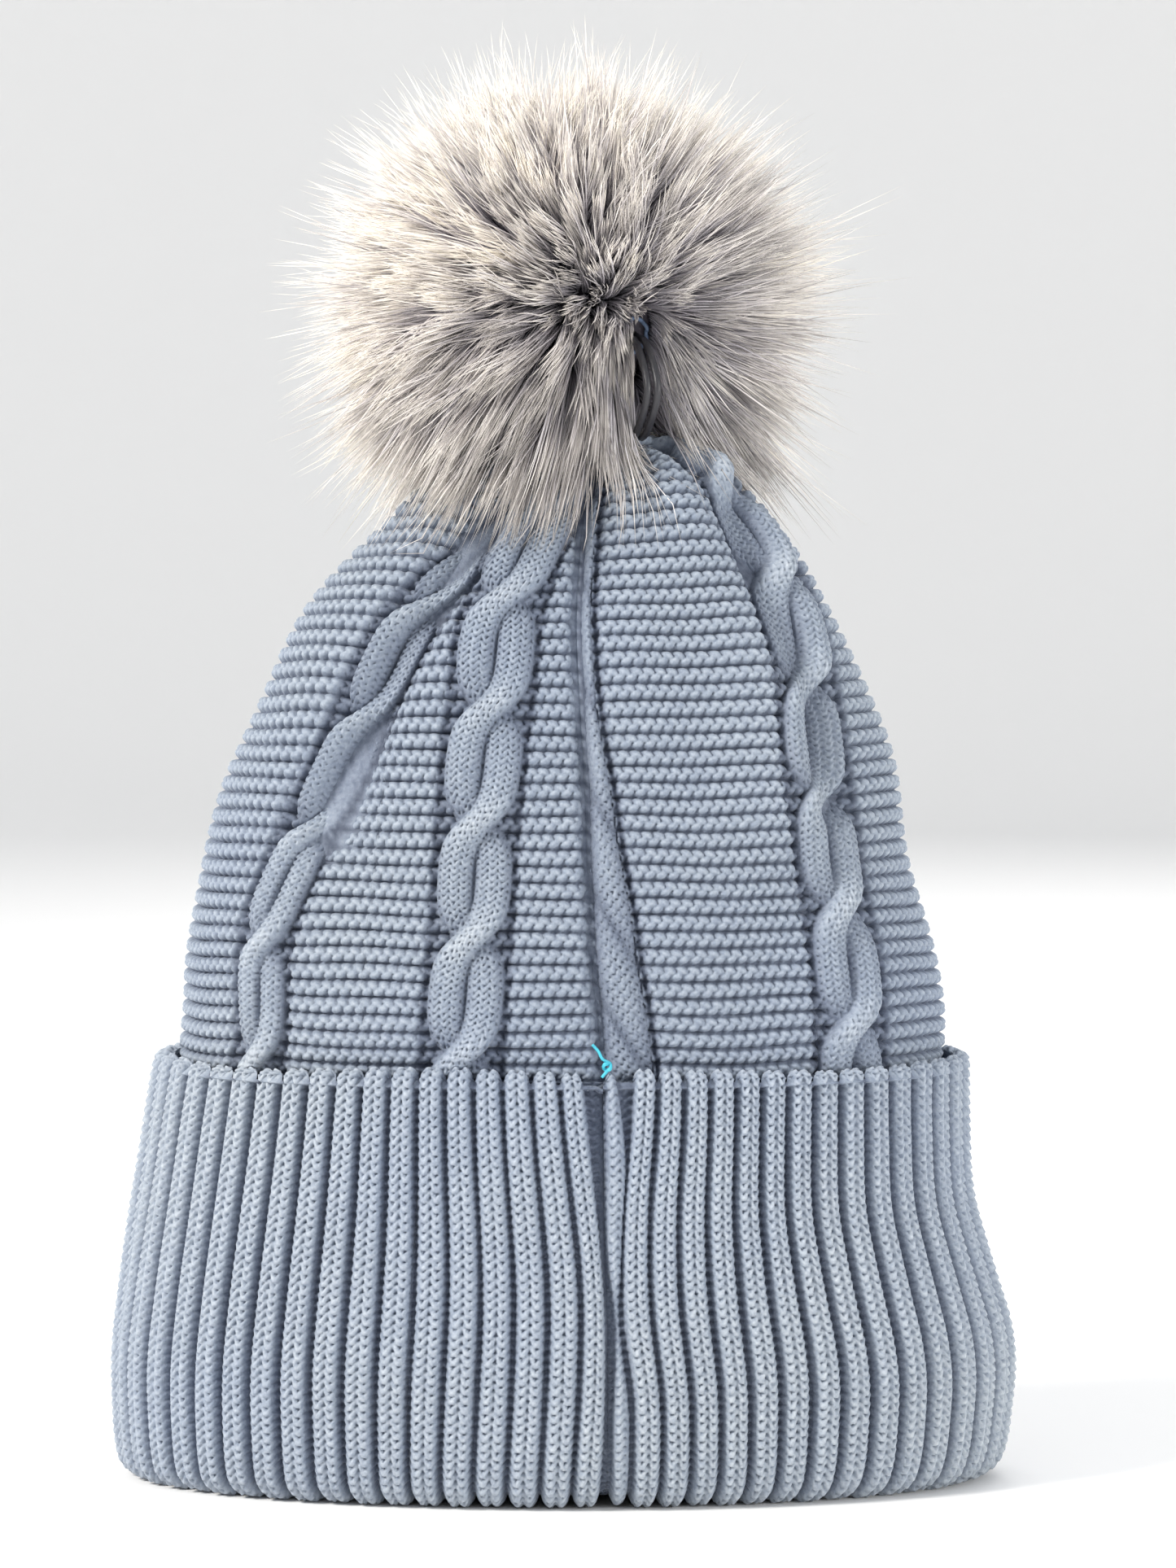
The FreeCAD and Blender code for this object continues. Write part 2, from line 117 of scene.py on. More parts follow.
def make_light(name, place, target, size, power, colour):
    """A round area lamp at a place, turned towards its target."""
    data = bpy.data.lights.new(name, "AREA")
    data.shape = "DISK"
    data.size = size
    data.energy = power
    data.color = colour
    light = link(name, data)
    light.location = place
    away = np.array(place) - np.array(target)
    tip = atan2(hypot(away[0], away[1]), away[2])
    light.rotation_euler = (tip, 0, atan2(away[0], -away[1]))


def make_stage():
    """A pale round floor that curves up far away, so that no horizon shows from any side."""
    rings = [(r, 0.0) for r in np.linspace(0.0, FLOOR_RADIUS, 8)[1:]]
    for t in np.linspace(0.1, pi / 2, 12):
        rings.append((FLOOR_RADIUS + FLOOR_CURVE * sin(t), FLOOR_CURVE * (1 - cos(t))))
    rings.append((FLOOR_RADIUS + FLOOR_CURVE, FLOOR_EDGE_HEIGHT))
    around = 64
    points, faces = [(0, 0, 0)], []
    for radius, height in rings:
        for k in range(around):
            angle = 2 * pi * k / around
            points.append((radius * cos(angle), radius * sin(angle), height))
    for k in range(around):
        faces.append((0, 1 + k, 1 + (k + 1) % around))
    for ring in range(len(rings) - 1):
        base = 1 + ring * around
        for k in range(around):
            after = (k + 1) % around
            faces.append((base + k, base + around + k, base + around + after, base + after))
    mesh = bpy.data.meshes.new("studio_floor")
    mesh.from_pydata(points, [], faces)
    mesh.shade_smooth()
    floor = link("studio_floor", mesh)
    material = bpy.data.materials.new("studio_paper")
    material.use_nodes = True
    give(material.node_tree.nodes["Principled BSDF"], {"Base Color": PAPER, "Roughness": 0.9})
    mesh.materials.append(material)
    world = bpy.data.worlds.new("studio")
    world.use_nodes = True
    give(world.node_tree.nodes["Background"], {"Color": SKY, "Strength": SKY_STRENGTH})
    bpy.context.scene.world = world
    bpy.context.scene.view_settings.view_transform = "Standard"
    make_light("window", (-1.25, -0.75, 1.15), (0, 0, 0.15), 0.45, 34, (1.0, 0.965, 0.91))
    make_light("fill", (1.15, -0.85, 0.42), (0.06, 0, 0.08), 0.5, 9, (1.0, 0.99, 0.96))
    make_light("top", (0.2, 0.3, 1.6), (0, 0, 0.2), 1.0, 6, (1.0, 1.0, 1.0))
    make_light("behind", (0.4, 1.5, 1.1), (0, 0, 0.2), 1.2, 7, (1.0, 0.98, 0.96))


make_camera()
make_stage()


# ---- materials
def new_material(name):
    """A new node material, its tree and its main shader."""
    material = bpy.data.materials.new(name)
    material.use_nodes = True
    tree = material.node_tree
    return material, tree, tree.nodes["Principled BSDF"]


def noise(tree, scale, detail=3.0, stretch=(1, 1, 1)):
    """Noise fixed to the object, of a given scale per metre."""
    where = tree.nodes.new("ShaderNodeTexCoord")
    mapping = tree.nodes.new("ShaderNodeMapping")
    texture = tree.nodes.new("ShaderNodeTexNoise")
    give(mapping, {"Scale": stretch})
    give(texture, {"Scale": scale, "Detail": detail})
    tree.links.new(where.outputs["Object"], mapping.inputs["Vector"])
    tree.links.new(mapping.outputs["Vector"], texture.inputs["Vector"])
    return texture.outputs["Fac"]


def ramp(tree, factor, stops):
    """A colour ramp over (place, colour) stops."""
    node = tree.nodes.new("ShaderNodeValToRGB")
    node.color_ramp.elements[0].position = stops[0][0]
    node.color_ramp.elements[0].color = (*stops[0][1], 1)
    node.color_ramp.elements[1].position = stops[-1][0]
    node.color_ramp.elements[1].color = (*stops[-1][1], 1)
    for place, colour in stops[1:-1]:
        node.color_ramp.elements.new(place).color = (*colour, 1)
    tree.links.new(factor, node.inputs["Fac"])
    return node.outputs["Color"]


def attribute(tree, name):
    """A number kept on the mesh's points."""
    node = tree.nodes.new("ShaderNodeAttribute")
    node.attribute_name = name
    return node.outputs["Fac"]


def multiply(tree, first, second):
    """Two colours multiplied."""
    node = tree.nodes.new("ShaderNodeMix")
    node.data_type = "RGBA"
    node.blend_type = "MULTIPLY"
    inputs = {s.identifier: s for s in node.inputs}
    inputs["Factor_Float"].default_value = 1.0
    tree.links.new(first, inputs["A_Color"])
    tree.links.new(second, inputs["B_Color"])
    return {s.identifier: s for s in node.outputs}["Result_Color"]


def bump(tree, shader, height, strength, distance):
    """Fine relief in the shader's normal; distance in metres."""
    node = tree.nodes.new("ShaderNodeBump")
    give(node, {"Strength": strength, "Distance": distance})
    tree.links.new(height, node.inputs["Height"])
    tree.links.new(node.outputs["Normal"], shader.inputs["Normal"])


def knit_material():
    """Plied acrylic yarn: painted shade, darker and bluer, in the hollows, painted light on the crowns of
    the stitches, fibres as fine bump.
    """
    material, tree, shader = new_material("periwinkle_yarn")
    # The ramp turns the painted shade tone into colour: painted shade, dark and blue, at 0 and painted
    # light, pale, at 1.
    stops = [
        (0.0, (0.06, 0.075, 0.115)),
        (0.3, (0.16, 0.19, 0.255)),
        (0.65, (0.28, 0.325, 0.40)),
        (1.0, (0.42, 0.465, 0.53)),
    ]
    colour = ramp(tree, attribute(tree, "painted_shade_tone"), stops)
    heather = ramp(tree, noise(tree, 900.0, 4.0), [(0.3, (0.74, 0.76, 0.8)), (0.7, (1.16, 1.14, 1.1))])
    colour = multiply(tree, colour, heather)
    patches = ramp(tree, noise(tree, 14.0, 2.0), [(0.3, (0.92, 0.94, 0.98)), (0.7, (1.07, 1.06, 1.02))])
    colour = multiply(tree, colour, patches)
    tree.links.new(colour, shader.inputs["Base Color"])
    give(shader, {"Roughness": 0.62, "Specular IOR Level": 0.35, "Sheen Weight": 0.35})
    give(shader, {"Sheen Roughness": 0.45, "Sheen Tint": (0.85, 0.92, 1.0, 1)})
    bump(tree, shader, noise(tree, 2600.0, 3.0, (1.0, 1.0, 0.55)), 0.55, 0.0003)
    return material


def fur_material():
    """Faux fur: mauve grey at the root, lilac grey along the hair, cream at the tip; each strand darker or
    paler at random, with painted shade near the mouth and on the hanging underside.
    """
    material, tree, shader = new_material("faux_fur_pile")
    along_stops = [
        (0.0, (0.36, 0.335, 0.40)),
        (0.3, (0.66, 0.635, 0.70)),
        (0.62, (0.87, 0.85, 0.87)),
        (1.0, (1.0, 0.96, 0.85)),
    ]
    colour = ramp(tree, attribute(tree, "along"), along_stops)
    # Each strand's tone: at random, with painted shade near the mouth and under the hanging side.
    strand_stops = [(0.0, (0.50, 0.48, 0.50)), (0.5, (0.97, 0.95, 0.97)), (1.0, (1.2, 1.16, 1.08))]
    shade = ramp(tree, attribute(tree, "strand"), strand_stops)
    colour = multiply(tree, colour, shade)
    tree.links.new(colour, shader.inputs["Base Color"])
    give(shader, {"Roughness": 0.48, "Specular IOR Level": 0.45, "Sheen Weight": 0.25})
    return material


def plain_material(name, colour, roughness, grain, depth, variation=0.12):
    """A small piece's material, with its own grain and a little variation of colour."""
    material, tree, shader = new_material(name)
    dark = tuple(c * (1 - variation) for c in colour)
    light = tuple(min(1.0, c * (1 + variation)) for c in colour)
    mottle = ramp(tree, noise(tree, grain, 4.0), [(0.3, dark), (0.7, light)])
    tree.links.new(mottle, shader.inputs["Base Color"])
    give(shader, {"Roughness": roughness})
    bump(tree, shader, noise(tree, grain * 1.7, 3.0), 0.5, depth)
    return material


KNIT = knit_material()
FUR = fur_material()
THREAD = plain_material("blue_sewing_thread", (0.20, 0.28, 0.44), 0.6, 2500, 0.0002)
TURQUOISE = plain_material("turquoise_sewing_thread", (0.06, 0.48, 0.62), 0.5, 2500, 0.0002)
ELASTIC = plain_material("black_elastic_cord", (0.03, 0.03, 0.036), 0.3, 1800, 0.0002)
SATIN = plain_material("blank_label_satin", (0.80, 0.80, 0.78), 0.35, 1500, 0.0001, 0.05)
PLASTIC = plain_material("button_polyester", (0.42, 0.48, 0.58), 0.3, 220, 0.00005, 0.08)
BACKING = plain_material("fur_backing_cloth", (0.16, 0.145, 0.18), 0.9, 700, 0.0003)
STUFFING = plain_material("fibre_filling", (0.8, 0.8, 0.8), 0.95, 500, 0.0006)


# ---- mesh making
def mesh_from(name, points, faces_by_size, material, floats=None, uv=None, loop_uv=None, flat=0):
    """A mesh from points in millimetres and face arrays, with point attributes and one UV map.

    The last `flat` faces are shaded flat, the rest smooth.
    """
    mesh = bpy.data.meshes.new(name)
    points = np.asarray(points, np.float32) * MM
    loops = np.concatenate([f.ravel() for f in faces_by_size]).astype(np.int32)
    counts = np.concatenate([np.full(len(f), f.shape[1]) for f in faces_by_size]).astype(np.int32)
    starts = np.concatenate([[0], np.cumsum(counts)[:-1]]).astype(np.int32)
    mesh.vertices.add(len(points))
    mesh.vertices.foreach_set("co", points.ravel())
    mesh.loops.add(len(loops))
    mesh.loops.foreach_set("vertex_index", loops)
    mesh.polygons.add(len(counts))
    mesh.polygons.foreach_set("loop_start", starts)
    mesh.polygons.foreach_set("loop_total", counts)
    for key, values in (floats or {}).items():
        layer = mesh.attributes.new(key, "FLOAT", "POINT")
        layer.data.foreach_set("value", np.asarray(values, np.float32).ravel())
    if uv is not None:
        loop_uv = np.asarray(uv, np.float32)[loops]
    if loop_uv is not None:
        layer = mesh.uv_layers.new(name="OFBake")
        layer.data.foreach_set("uv", np.asarray(loop_uv, np.float32).ravel())
    mesh.update(calc_edges=True)
    mesh.shade_smooth()
    if flat:
        mesh.polygons.foreach_set("use_smooth", np.arange(len(counts)) < len(counts) - flat)
    mesh.materials.append(material)
    return link(name, mesh)


def grid_faces(rows, columns, first=0):
    """Quads of a grid stored row by row."""
    index = first + np.arange(rows * columns).reshape(rows, columns)
    return np.stack([index[:-1, :-1], index[:-1, 1:], index[1:, 1:], index[1:, :-1]], -1).reshape(-1, 4)


COARSE = 4  # the hidden side has one cell for this many of the shown side's
HIDDEN_PAINTED_SHADE = 0.8  # painted shade: the hidden side's tone is this much of the shown side's, so it is painted darker
UV_RIGHT = 0.96
UV_SHOWN_TOP = 0.78
UV_HIDDEN = (0.8, 0.99)


def closed_patch(name, shown, hidden, painted_shade_tone, material):
    """A piece of knitted wall: a fine shown grid, a coarse hidden one behind it, and a closed rim."""
    rows, columns = shown.shape[:2]
    back = hidden[::COARSE, ::COARSE]
    back_rows, back_columns = back.shape[:2]
    base = rows * columns
    fine = np.arange(base).reshape(rows, columns)
    coarse = base + np.arange(back_rows * back_columns).reshape(back_rows, back_columns)
    faces = [grid_faces(rows, columns), grid_faces(back_rows, back_columns, base)[:, ::-1]]
    rims = (
        (fine[0], coarse[0], True),
        (fine[-1], coarse[-1], False),
        (fine[:, 0], coarse[:, 0], False),
        (fine[:, -1], coarse[:, -1], True),
    )
    walls = []
    for edge, back_edge, flip in rims:
        cells = len(back_edge) - 1
        corners = [edge[k : k + cells * COARSE : COARSE] for k in range(COARSE)]
        wall = np.stack(corners + [edge[COARSE::COARSE]], 1)
        wall = np.concatenate([wall, back_edge[1:, None], back_edge[:-1, None]], 1)
        walls.append(wall[:, ::-1] if flip else wall)
    faces.append(np.concatenate(walls))
    points = np.concatenate([shown.reshape(-1, 3), back.reshape(-1, 3)])
    painted_shade_tones = np.concatenate([painted_shade_tone.ravel(), painted_shade_tone[::COARSE, ::COARSE].ravel() * HIDDEN_PAINTED_SHADE])
    uv = []
    for grid, (low, high) in ((shown, (0, UV_SHOWN_TOP)), (back, UV_HIDDEN)):
        across, up = np.linspace(0, UV_RIGHT, grid.shape[1]), np.linspace(low, high, grid.shape[0])
        place = np.meshgrid(across, up)
        uv.append(np.stack(place, -1).reshape(-1, 2))
    uv = np.concatenate(uv)
    return mesh_from(name, points, faces, material, {"painted_shade_tone": painted_shade_tones}, uv, flat=len(faces[-1]))


def normals_of(grid):
    """Unit normals of a closed ring's grid, whose columns go round +Z the way +X turns to +Y."""
    along = np.gradient(grid, axis=0)
    wrapped = np.concatenate([grid[:, -2:-1], grid, grid[:, 1:2]], 1)
    across = (wrapped[:, 2:] - wrapped[:, :-2]) / 2
    normal = np.cross(across, along)
    return normal / np.maximum(np.linalg.norm(normal, axis=-1, keepdims=True), 1e-9)


def smooth_curve(at, places, values):
    """A smooth curve through given values."""
    places, values = np.asarray(places, float), np.asarray(values, float)
    slopes = np.gradient(values, places)
    index = np.clip(np.searchsorted(places, at) - 1, 0, len(places) - 2)
    low, high = places[index], places[index + 1]
    step = high - low
    t = np.clip((at - low) / step, 0, 1)
    rest = (2 * t**3 - 3 * t**2 + 1) * values[index] + (-2 * t**3 + 3 * t**2) * values[index + 1]
    return rest + (t**3 - 2 * t**2 + t) * step * slopes[index] + (t**3 - t**2) * step * slopes[index + 1]


def bell(x, width):
    """1 at 0, falling away on both sides."""
    return np.exp(-((x / width) ** 2))


def step_up(x, low, high):
    """0 up to low and 1 from high on, with a smooth rise between."""
    t = np.clip((x - low) / (high - low), 0, 1)
    return t * t * (3 - 2 * t)


# ---- stitches
def knit_legs(x, y, wale, course, radius):
    """Height of plain stitches: two yarn legs to a stitch, which meet at its foot."""
    x = np.abs((x / wale + 0.5) % 1.0 - 0.5) * wale
    best = np.zeros(np.broadcast(x, y).shape)
    row = np.floor(y / course)
    top_x, low_x = 0.46 * wale, 0.05 * wale  # a leg's two ends, from its stitch's middle
    reach = 0.46 * course
    for shift in (-1, 0, 1):
        middle = (row + shift + 0.5) * course
        start_y, end_y = middle - reach, middle + reach
        run_x, run_y = top_x - low_x, end_y - start_y
        t = np.clip(((x - low_x) * run_x + (y - start_y) * run_y) / (run_x**2 + run_y**2), 0, 1)
        off = (x - low_x - t * run_x) ** 2 + (y - start_y - t * run_y) ** 2
        height = np.sqrt(np.maximum(radius**2 - off, 0)) + 0.45 * radius * (1 - t) * (off < radius**2)
        best = np.maximum(best, height)
    return best / (1.2 * radius)


def purl_bumps(x, y, wale, ridge):
    """Height of garter ridges: each is two rows of slanted purl bumps, half a bump apart, on a roll."""
    row = np.floor(y / ridge)
    dy = y - (row + 0.5) * ridge
    roll = np.sqrt(np.maximum(1 - (dy / (0.49 * ridge)) ** 2, 0))
    best = np.zeros(np.broadcast(x, y).shape)
    for level, shift, slant in ((0.19, 0.0, 0.5), (-0.19, 0.5, -0.5)):
        off_y = dy - level * ridge
        off_x = ((x / wale + shift + 0.31 * row) % 1.0 - 0.5) * wale + slant * off_y
        swell = 1 - (off_x / (0.47 * wale)) ** 2 - (off_y / (0.30 * ridge)) ** 2
        best = np.maximum(best, np.sqrt(np.maximum(swell, 0)))
    return 0.5 * roll + 0.5 * best


def wander(x, y, scale, seed, count=5):
    """A slow smooth unevenness between about -1 and 1."""
    draw = np.random.default_rng(seed)
    total = 0
    for _ in range(count):
        angle, phase = draw.uniform(0, 2 * pi, 2)
        rate = 2 * pi / (scale * draw.uniform(0.7, 1.6))
        total = total + np.sin(rate * (x * cos(angle) + y * sin(angle)) + phase)
    return total / count * 1.4


def oval_angles(count, half_width, half_depth, seam_x):
    """Angles round an oval at equal steps of its length, from the seam round by +X and back to it."""
    fine = np.linspace(0, 2 * pi, 20001)
    start = asin(seam_x / half_width)
    angle = start + fine
    step = np.hypot(half_width * np.cos(angle), half_depth * np.sin(angle))
    length = np.concatenate([[0], np.cumsum((step[1:] + step[:-1]) / 2 * (fine[1] - fine[0]))])
    share = np.linspace(0, length[-1], count + 1)
    return start + np.interp(share, length, fine), length[-1]


# ---- the cuff
RIBS = 66
RIB_CELLS = 20
PIECE_RIBS = 6
COURSE = 2.2  # height of one rib stitch
YARN_RADIUS = 0.64
RIB_DEPTH = 2.3  # how far the ribs stand over the purl grooves
FULL_RISE = RIB_DEPTH + 1.5  # the cuff's base surface runs over the ribs' crowns, this far over their foot
CUFF_INNER = 4.4  # from the base surface in to the hidden side
HEM_RADIUS = 5.2  # of the fold, at its outside
EDGE_ROUND = 2.3  # radius of the cuff's loose edge
CUFF_ROWS = 264
FLOOR_GAP = 0.02  # the hem stays this far over the ground

# The cuff's half widths to the left and right and its half depth, at heights over the floor.
LEFT_HEIGHTS = (0, 8, 16, 28, 47, 66, 86, 102)
LEFT_WIDTHS = (105.5, 107.2, 107.9, 108.2, 106.2, 103.0, 99.4, 96.6)
RIGHT_HEIGHTS = (0, 8, 18, 28, 38, 47, 57, 66, 85, 102)
RIGHT_WIDTHS = (103.5, 106.4, 107.8, 108.2, 106.8, 104.2, 101.2, 98.8, 97.4, 97.0)
DEPTH_HEIGHTS = (0, 10, 28, 62, 102)
DEPTHS = (47.5, 51.2, 52.0, 49.4, 46.5)


def cuff_point(angle, height, inset):
    """A point of the cuff's oval at a height, pulled in by inset."""
    left = smooth_curve(height, LEFT_HEIGHTS, LEFT_WIDTHS)
    right = smooth_curve(height, RIGHT_HEIGHTS, RIGHT_WIDTHS)
    deep = smooth_curve(height, DEPTH_HEIGHTS, DEPTHS) - inset
    side = np.sin(angle)
    blend = step_up(side, -0.5, 0.5)
    wide = left * (1 - blend) + right * blend - inset
    return np.stack([wide * side, -deep * np.cos(angle), height + 0 * side], -1)


def cuff_profile():
    """Height, inset and run of the cuff's rows: over its loose edge, down the outside and round the hem."""
    rows = []
    for t in np.linspace(-0.5, 1.0, 15):
        turn = t * pi / 2
        height = CUFF_TOP - EDGE_ROUND + EDGE_ROUND * cos(turn)
        rows.append((height, EDGE_ROUND - EDGE_ROUND * sin(turn)))
    low = HEM_RADIUS
    for height in np.linspace(CUFF_TOP - EDGE_ROUND, low, CUFF_ROWS)[1:]:
        rows.append((height, 0.0))
    for t in np.linspace(0, 1, 30)[1:]:
        turn = t * pi
        rows.append((low - low * sin(turn), low - low * cos(turn)))
    rows = np.array(rows)
    run = np.concatenate([[0], np.cumsum(np.hypot(*np.diff(rows, axis=0).T))])
    keep = (len(rows) - 1) // COARSE * COARSE + 1
    return rows[:keep, 0], rows[:keep, 1], run[:keep]


# The purl gaps beside the back seam, and the place and half width of the narrow rib in the right one.
# Each is a row of heights over the floor and a row of sizes at them.
RIGHT_GAP = ((0, 25, 47, 70, 90, 102), (5.6, 5.2, 3.4, 4.6, 6.6, 7.4))
LEFT_GAP = ((0, 30, 52, 78, 102), (1.6, 0.3, 0.3, 2.8, 5.0))
SEAM_RIB_PLACE = ((0, 25, 43, 60, 80, 102), (2.9, 2.8, 2.4, 2.1, 2.9, 1.8))
SEAM_RIB_HALF = ((0, 25, 38, 44, 60, 80, 102), (1.9, 1.7, 0.8, 0.5, 1.9, 2.6, 1.3))


def rib_coordinates(distance, height, length):
    """Distance round the hat to rib middles, after the gaps at the seam and the ribs' lean towards it."""
    from_left = length - distance
    right_gap = smooth_curve(height, *RIGHT_GAP)
    left_gap = smooth_curve(height, *LEFT_GAP)
    middle = bell(height - 48, 34) * step_up(102 - height, 0, 30)
    lean_left = 3.2 * np.exp(-from_left / 26) * (1 - np.exp(-from_left / 5)) * middle
    shift_right = right_gap * np.exp(-np.maximum(distance - right_gap, 0) / 34)
    shift_left = left_gap * np.exp(-np.maximum(from_left - left_gap, 0) / 34)
    wave = 0.45 * wander(distance, height * 0.8, 38, 3)
    near = np.minimum(1, np.minimum(from_left, distance) / 9)
    return distance - shift_right + shift_left - lean_left + wave * near


def rib_height(distance, run, height, length):
    """Height of the ribs over their purl grooves, how far up a rib each point lies, and the stitch legs."""
    pitch = length / RIBS
    place = rib_coordinates(distance, height, length)
    x = (place / pitch % 1.0 - 0.5) * pitch
    x = x * (1 + 0.04 * wander(place, height, 50, 9))
    top = np.sqrt(np.maximum(1 - np.abs(x / (0.44 * pitch)) ** 3.2, 0))
    in_right_gap = distance < smooth_curve(height, *RIGHT_GAP)
    in_gap = in_right_gap | (length - distance < smooth_curve(height, *LEFT_GAP))
    top = np.where(in_gap, 0.0, top)
    wale = 0.405 * pitch  # a rib is two wales side by side
    half = np.where(x > 0, x - 0.205 * pitch, x + 0.205 * pitch)
    half = np.clip(half, -0.5 * wale, 0.5 * wale)
    seam_x = distance - smooth_curve(height, *SEAM_RIB_PLACE)
    seam_half = smooth_curve(height, *SEAM_RIB_HALF)
    seam_top = np.sqrt(np.maximum(1 - (seam_x / seam_half) ** 2, 0)) * np.minimum(1, seam_half / 1.4)
    on_seam_rib = in_gap & (seam_top > 0)
    half = np.where(on_seam_rib, seam_x + 0.25 * wale, half)
    dip = np.where(on_seam_rib, 0.0, 0.42 * bell(x, 0.5))
    top = np.where(on_seam_rib, 0.86 * seam_top, top)
    sway = 0.25 * wander(place, height, 9, 5)
    legs = knit_legs(half, -run + sway, wale, COURSE, YARN_RADIUS)
    number = np.floor(place / pitch)
    uneven = 0.35 * np.sin(number * 2.4) + 0.25 * wander(place, height, 30, 12)
    rise = RIB_DEPTH * top * (1 + 0.16 * uneven) - dip * top + 1.35 * legs * (0.25 + 0.75 * top)
    ladder = 0.45 * (1 - top) * np.sin(2 * pi * run / COURSE + 0.8 * np.sin(2.1 * distance))
    return rise + ladder, top, legs


def seam_valley(distance, length, height):
    """Depth of the pinch along the back seam."""
    near = np.minimum(distance, length - distance)
    return 1.5 * bell(near, 1.2) * (0.6 + 0.4 * bell(height - 45, 30))


def place_piece(piece, body, node):
    """The body a piece rides on and the CAD node it stands for."""
    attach(piece, body)
    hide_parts(node)


def make_wall(name, count, grids, node, columns=slice(None)):
    """A ring of knitted wall (shown, hidden and painted shade tone grids), cut into pieces side by side."""
    cells = (grids[0].shape[1] - 1) // count
    for number in range(count):
        part = slice(number * cells, (number + 1) * cells + 1)
        piece = closed_patch(name.format(number + 1), *(grid[:, part][:, columns] for grid in grids), KNIT)
        place_piece(piece, "hat", node)


def make_cuff():
    """The turned-up ribbed cuff, in pieces of six ribs."""
    columns = RIBS * RIB_CELLS
    angles, length = oval_angles(columns, 104.0, 50.0, SEAM_X)
    heights, insets, run = cuff_profile()
    distance = np.linspace(0, length, columns + 1)[None, :]
    height, inset = heights[:, None], insets[:, None]
    base = cuff_point(angles[None, :], height, inset)
    slump = 0.9 * wander(distance, height, 60, 21) * step_up(height, 0, 25)
    rise, top, legs = rib_height(distance, run[:, None], height, length)
    out = normals_of(base) * -1
    rise = rise - FULL_RISE + slump - seam_valley(distance, length, height)
    shown = base + out * rise[..., None]
    shown[..., 2] = np.maximum(shown[..., 2], FLOOR_GAP)
    hidden = base - out * CUFF_INNER
    hidden[..., 2] = np.maximum(hidden[..., 2], 0.3)
    # Painted shade: the purl grooves between the ribs darker, the crowns of the ribs and of their stitch
    # legs paler where light falls.
    painted_shade_tone = np.clip(0.12 + 0.52 * top + 0.42 * (legs - 0.45) * (0.4 + 0.6 * top), 0, 1)
    grids = [grid[::-1] for grid in (shown, hidden, painted_shade_tone)]
    make_wall("ribbed_cuff_{:02d}", RIBS // PIECE_RIBS, grids, "rib_turned_up_cuff")


make_cuff()

# ---- the crown
# The crown from the bottom up: heights, left edges, right edges and half depths.
BODY_TURNS = (
    (95, 104, 124, 145, 168, 188, 206, 221, 232, 240, 245, 247.2, 246.0),
    (-89.5, -92.0, -92.0, -87.0, -80.0, -70.5, -61.5, -50.5, -39.0, -26.5, -13.0, 4.0, 11.6),
    (89.0, 90.5, 88.5, 84.5, 80.0, 72.0, 64.5, 57.0, 48.5, 39.5, 31.0, 23.0, 20.4),
    (39.6, 40.6, 41.0, 39.6, 36.6, 33.2, 29.6, 25.0, 20.0, 14.8, 9.6, 5.6, 3.8),
)
RIDGE = 3.9  # from one garter ridge to the next
BUMP = 2.83  # from one purl bump to the next
GROUND_RELIEF = 2.6  # of the garter ridges
CABLE_RELIEF = 3.0  # of a cable's strand over the ground
CROWN_INNER = 4.6  # from the crown's base surface in to the hidden side
NOWHERE = -9.0  # height of a feature where it isn't
CROWN_COLUMNS = 1280
CROWN_ROWS = 488
CROWN_PIECES = 8

# Cables: heights of points along the middle line, X of those points, and the cable's half width.
LEFT_CABLE = (
    (95, 105, 134, 153, 172, 191, 209, 246),
    (-72.5, -71.3, -69.4, -61.7, -52.1, -42.5, -32.9, 6),
    6.2,
)
MID_CABLE = (
    (95, 104, 134, 162, 187, 209, 224, 246),
    (-23.8, -23.3, -21.3, -19.4, -16.5, -13.7, -8.5, 5),
    8.6,
)
RIGHT_CABLE = (
    (95, 101, 128, 153, 174, 195, 209, 221, 233, 246),
    (68.5, 68.0, 67.0, 63.0, 59.4, 56.5, 53.2, 49, 42, 29),
    8.4,
)
FRONT_CABLES = (LEFT_CABLE, MID_CABLE, RIGHT_CABLE)
# The far side isn't in the photo: its cables follow the front's spacing.
BACK_LEVELS = (95, 150, 200, 246)
BACK_CABLES = (
    (BACK_LEVELS, (-62.0, -55.0, -38.0, 8), 8.4),
    (BACK_LEVELS, (-16.0, -14.0, -4.0, 12), 8.6),
    (BACK_LEVELS, (30.0, 28.0, 24.0, 18), 8.4),
    (BACK_LEVELS, (74.0, 68.0, 50.0, 21), 7.0),
)
# The strip to the right of the seam narrows upwards: its half widths at runs up the crown.
STRIP_RUNS = (0, 10, 35, 62, 90, 120, 200)
STRIP_WIDTHS = (5.8, 5.6, 4.8, 3.2, 1.7, 1.3, 1.2)
# The slumped crown's two folds and the swellings beside them: X and height of points, and the width.
FOLDS = (
    (((-17.5, 231), (-38, 197), (-56, 158)), 5.0),
    (((40, 232), (50, 206), (58, 187), (63, 162)), 3.8),
    (((-31, 232), (-50, 203), (-66, 166)), 9.0),
    (((26, 238), (40, 210), (49, 185), (54, 160)), 11.0),
)
CROSSING = 27.0  # run from one crossing of a cable's strands to the next
MID_CABLE_PHASE = 0.35  # sets the height of its crossings
STRIP_LEAN = 1.9  # how far a strand of the cut cable drops, per millimetre to the right


def body_rows(count):
    """Rows of the crown at even steps of its run: height, left, right, depth and the run itself."""
    key = np.arange(len(BODY_TURNS[0]))
    fine = np.linspace(0, len(key) - 1, 4000)
    table = np.stack([smooth_curve(fine, key, values) for values in BODY_TURNS], -1)
    half = (table[:, 2] - table[:, 1]) / 2
    rise, narrowing, flattening = np.diff(table[:, 0]), np.diff(half), np.diff(table[:, 3])
    step = np.sqrt(rise**2 + (0.55 * narrowing) ** 2 + (0.8 * flattening) ** 2)
    run = np.concatenate([[0], np.cumsum(step)])
    even = np.linspace(0, run[-1], count)
    return [np.interp(even, run, table[:, k]) for k in range(4)] + [even]


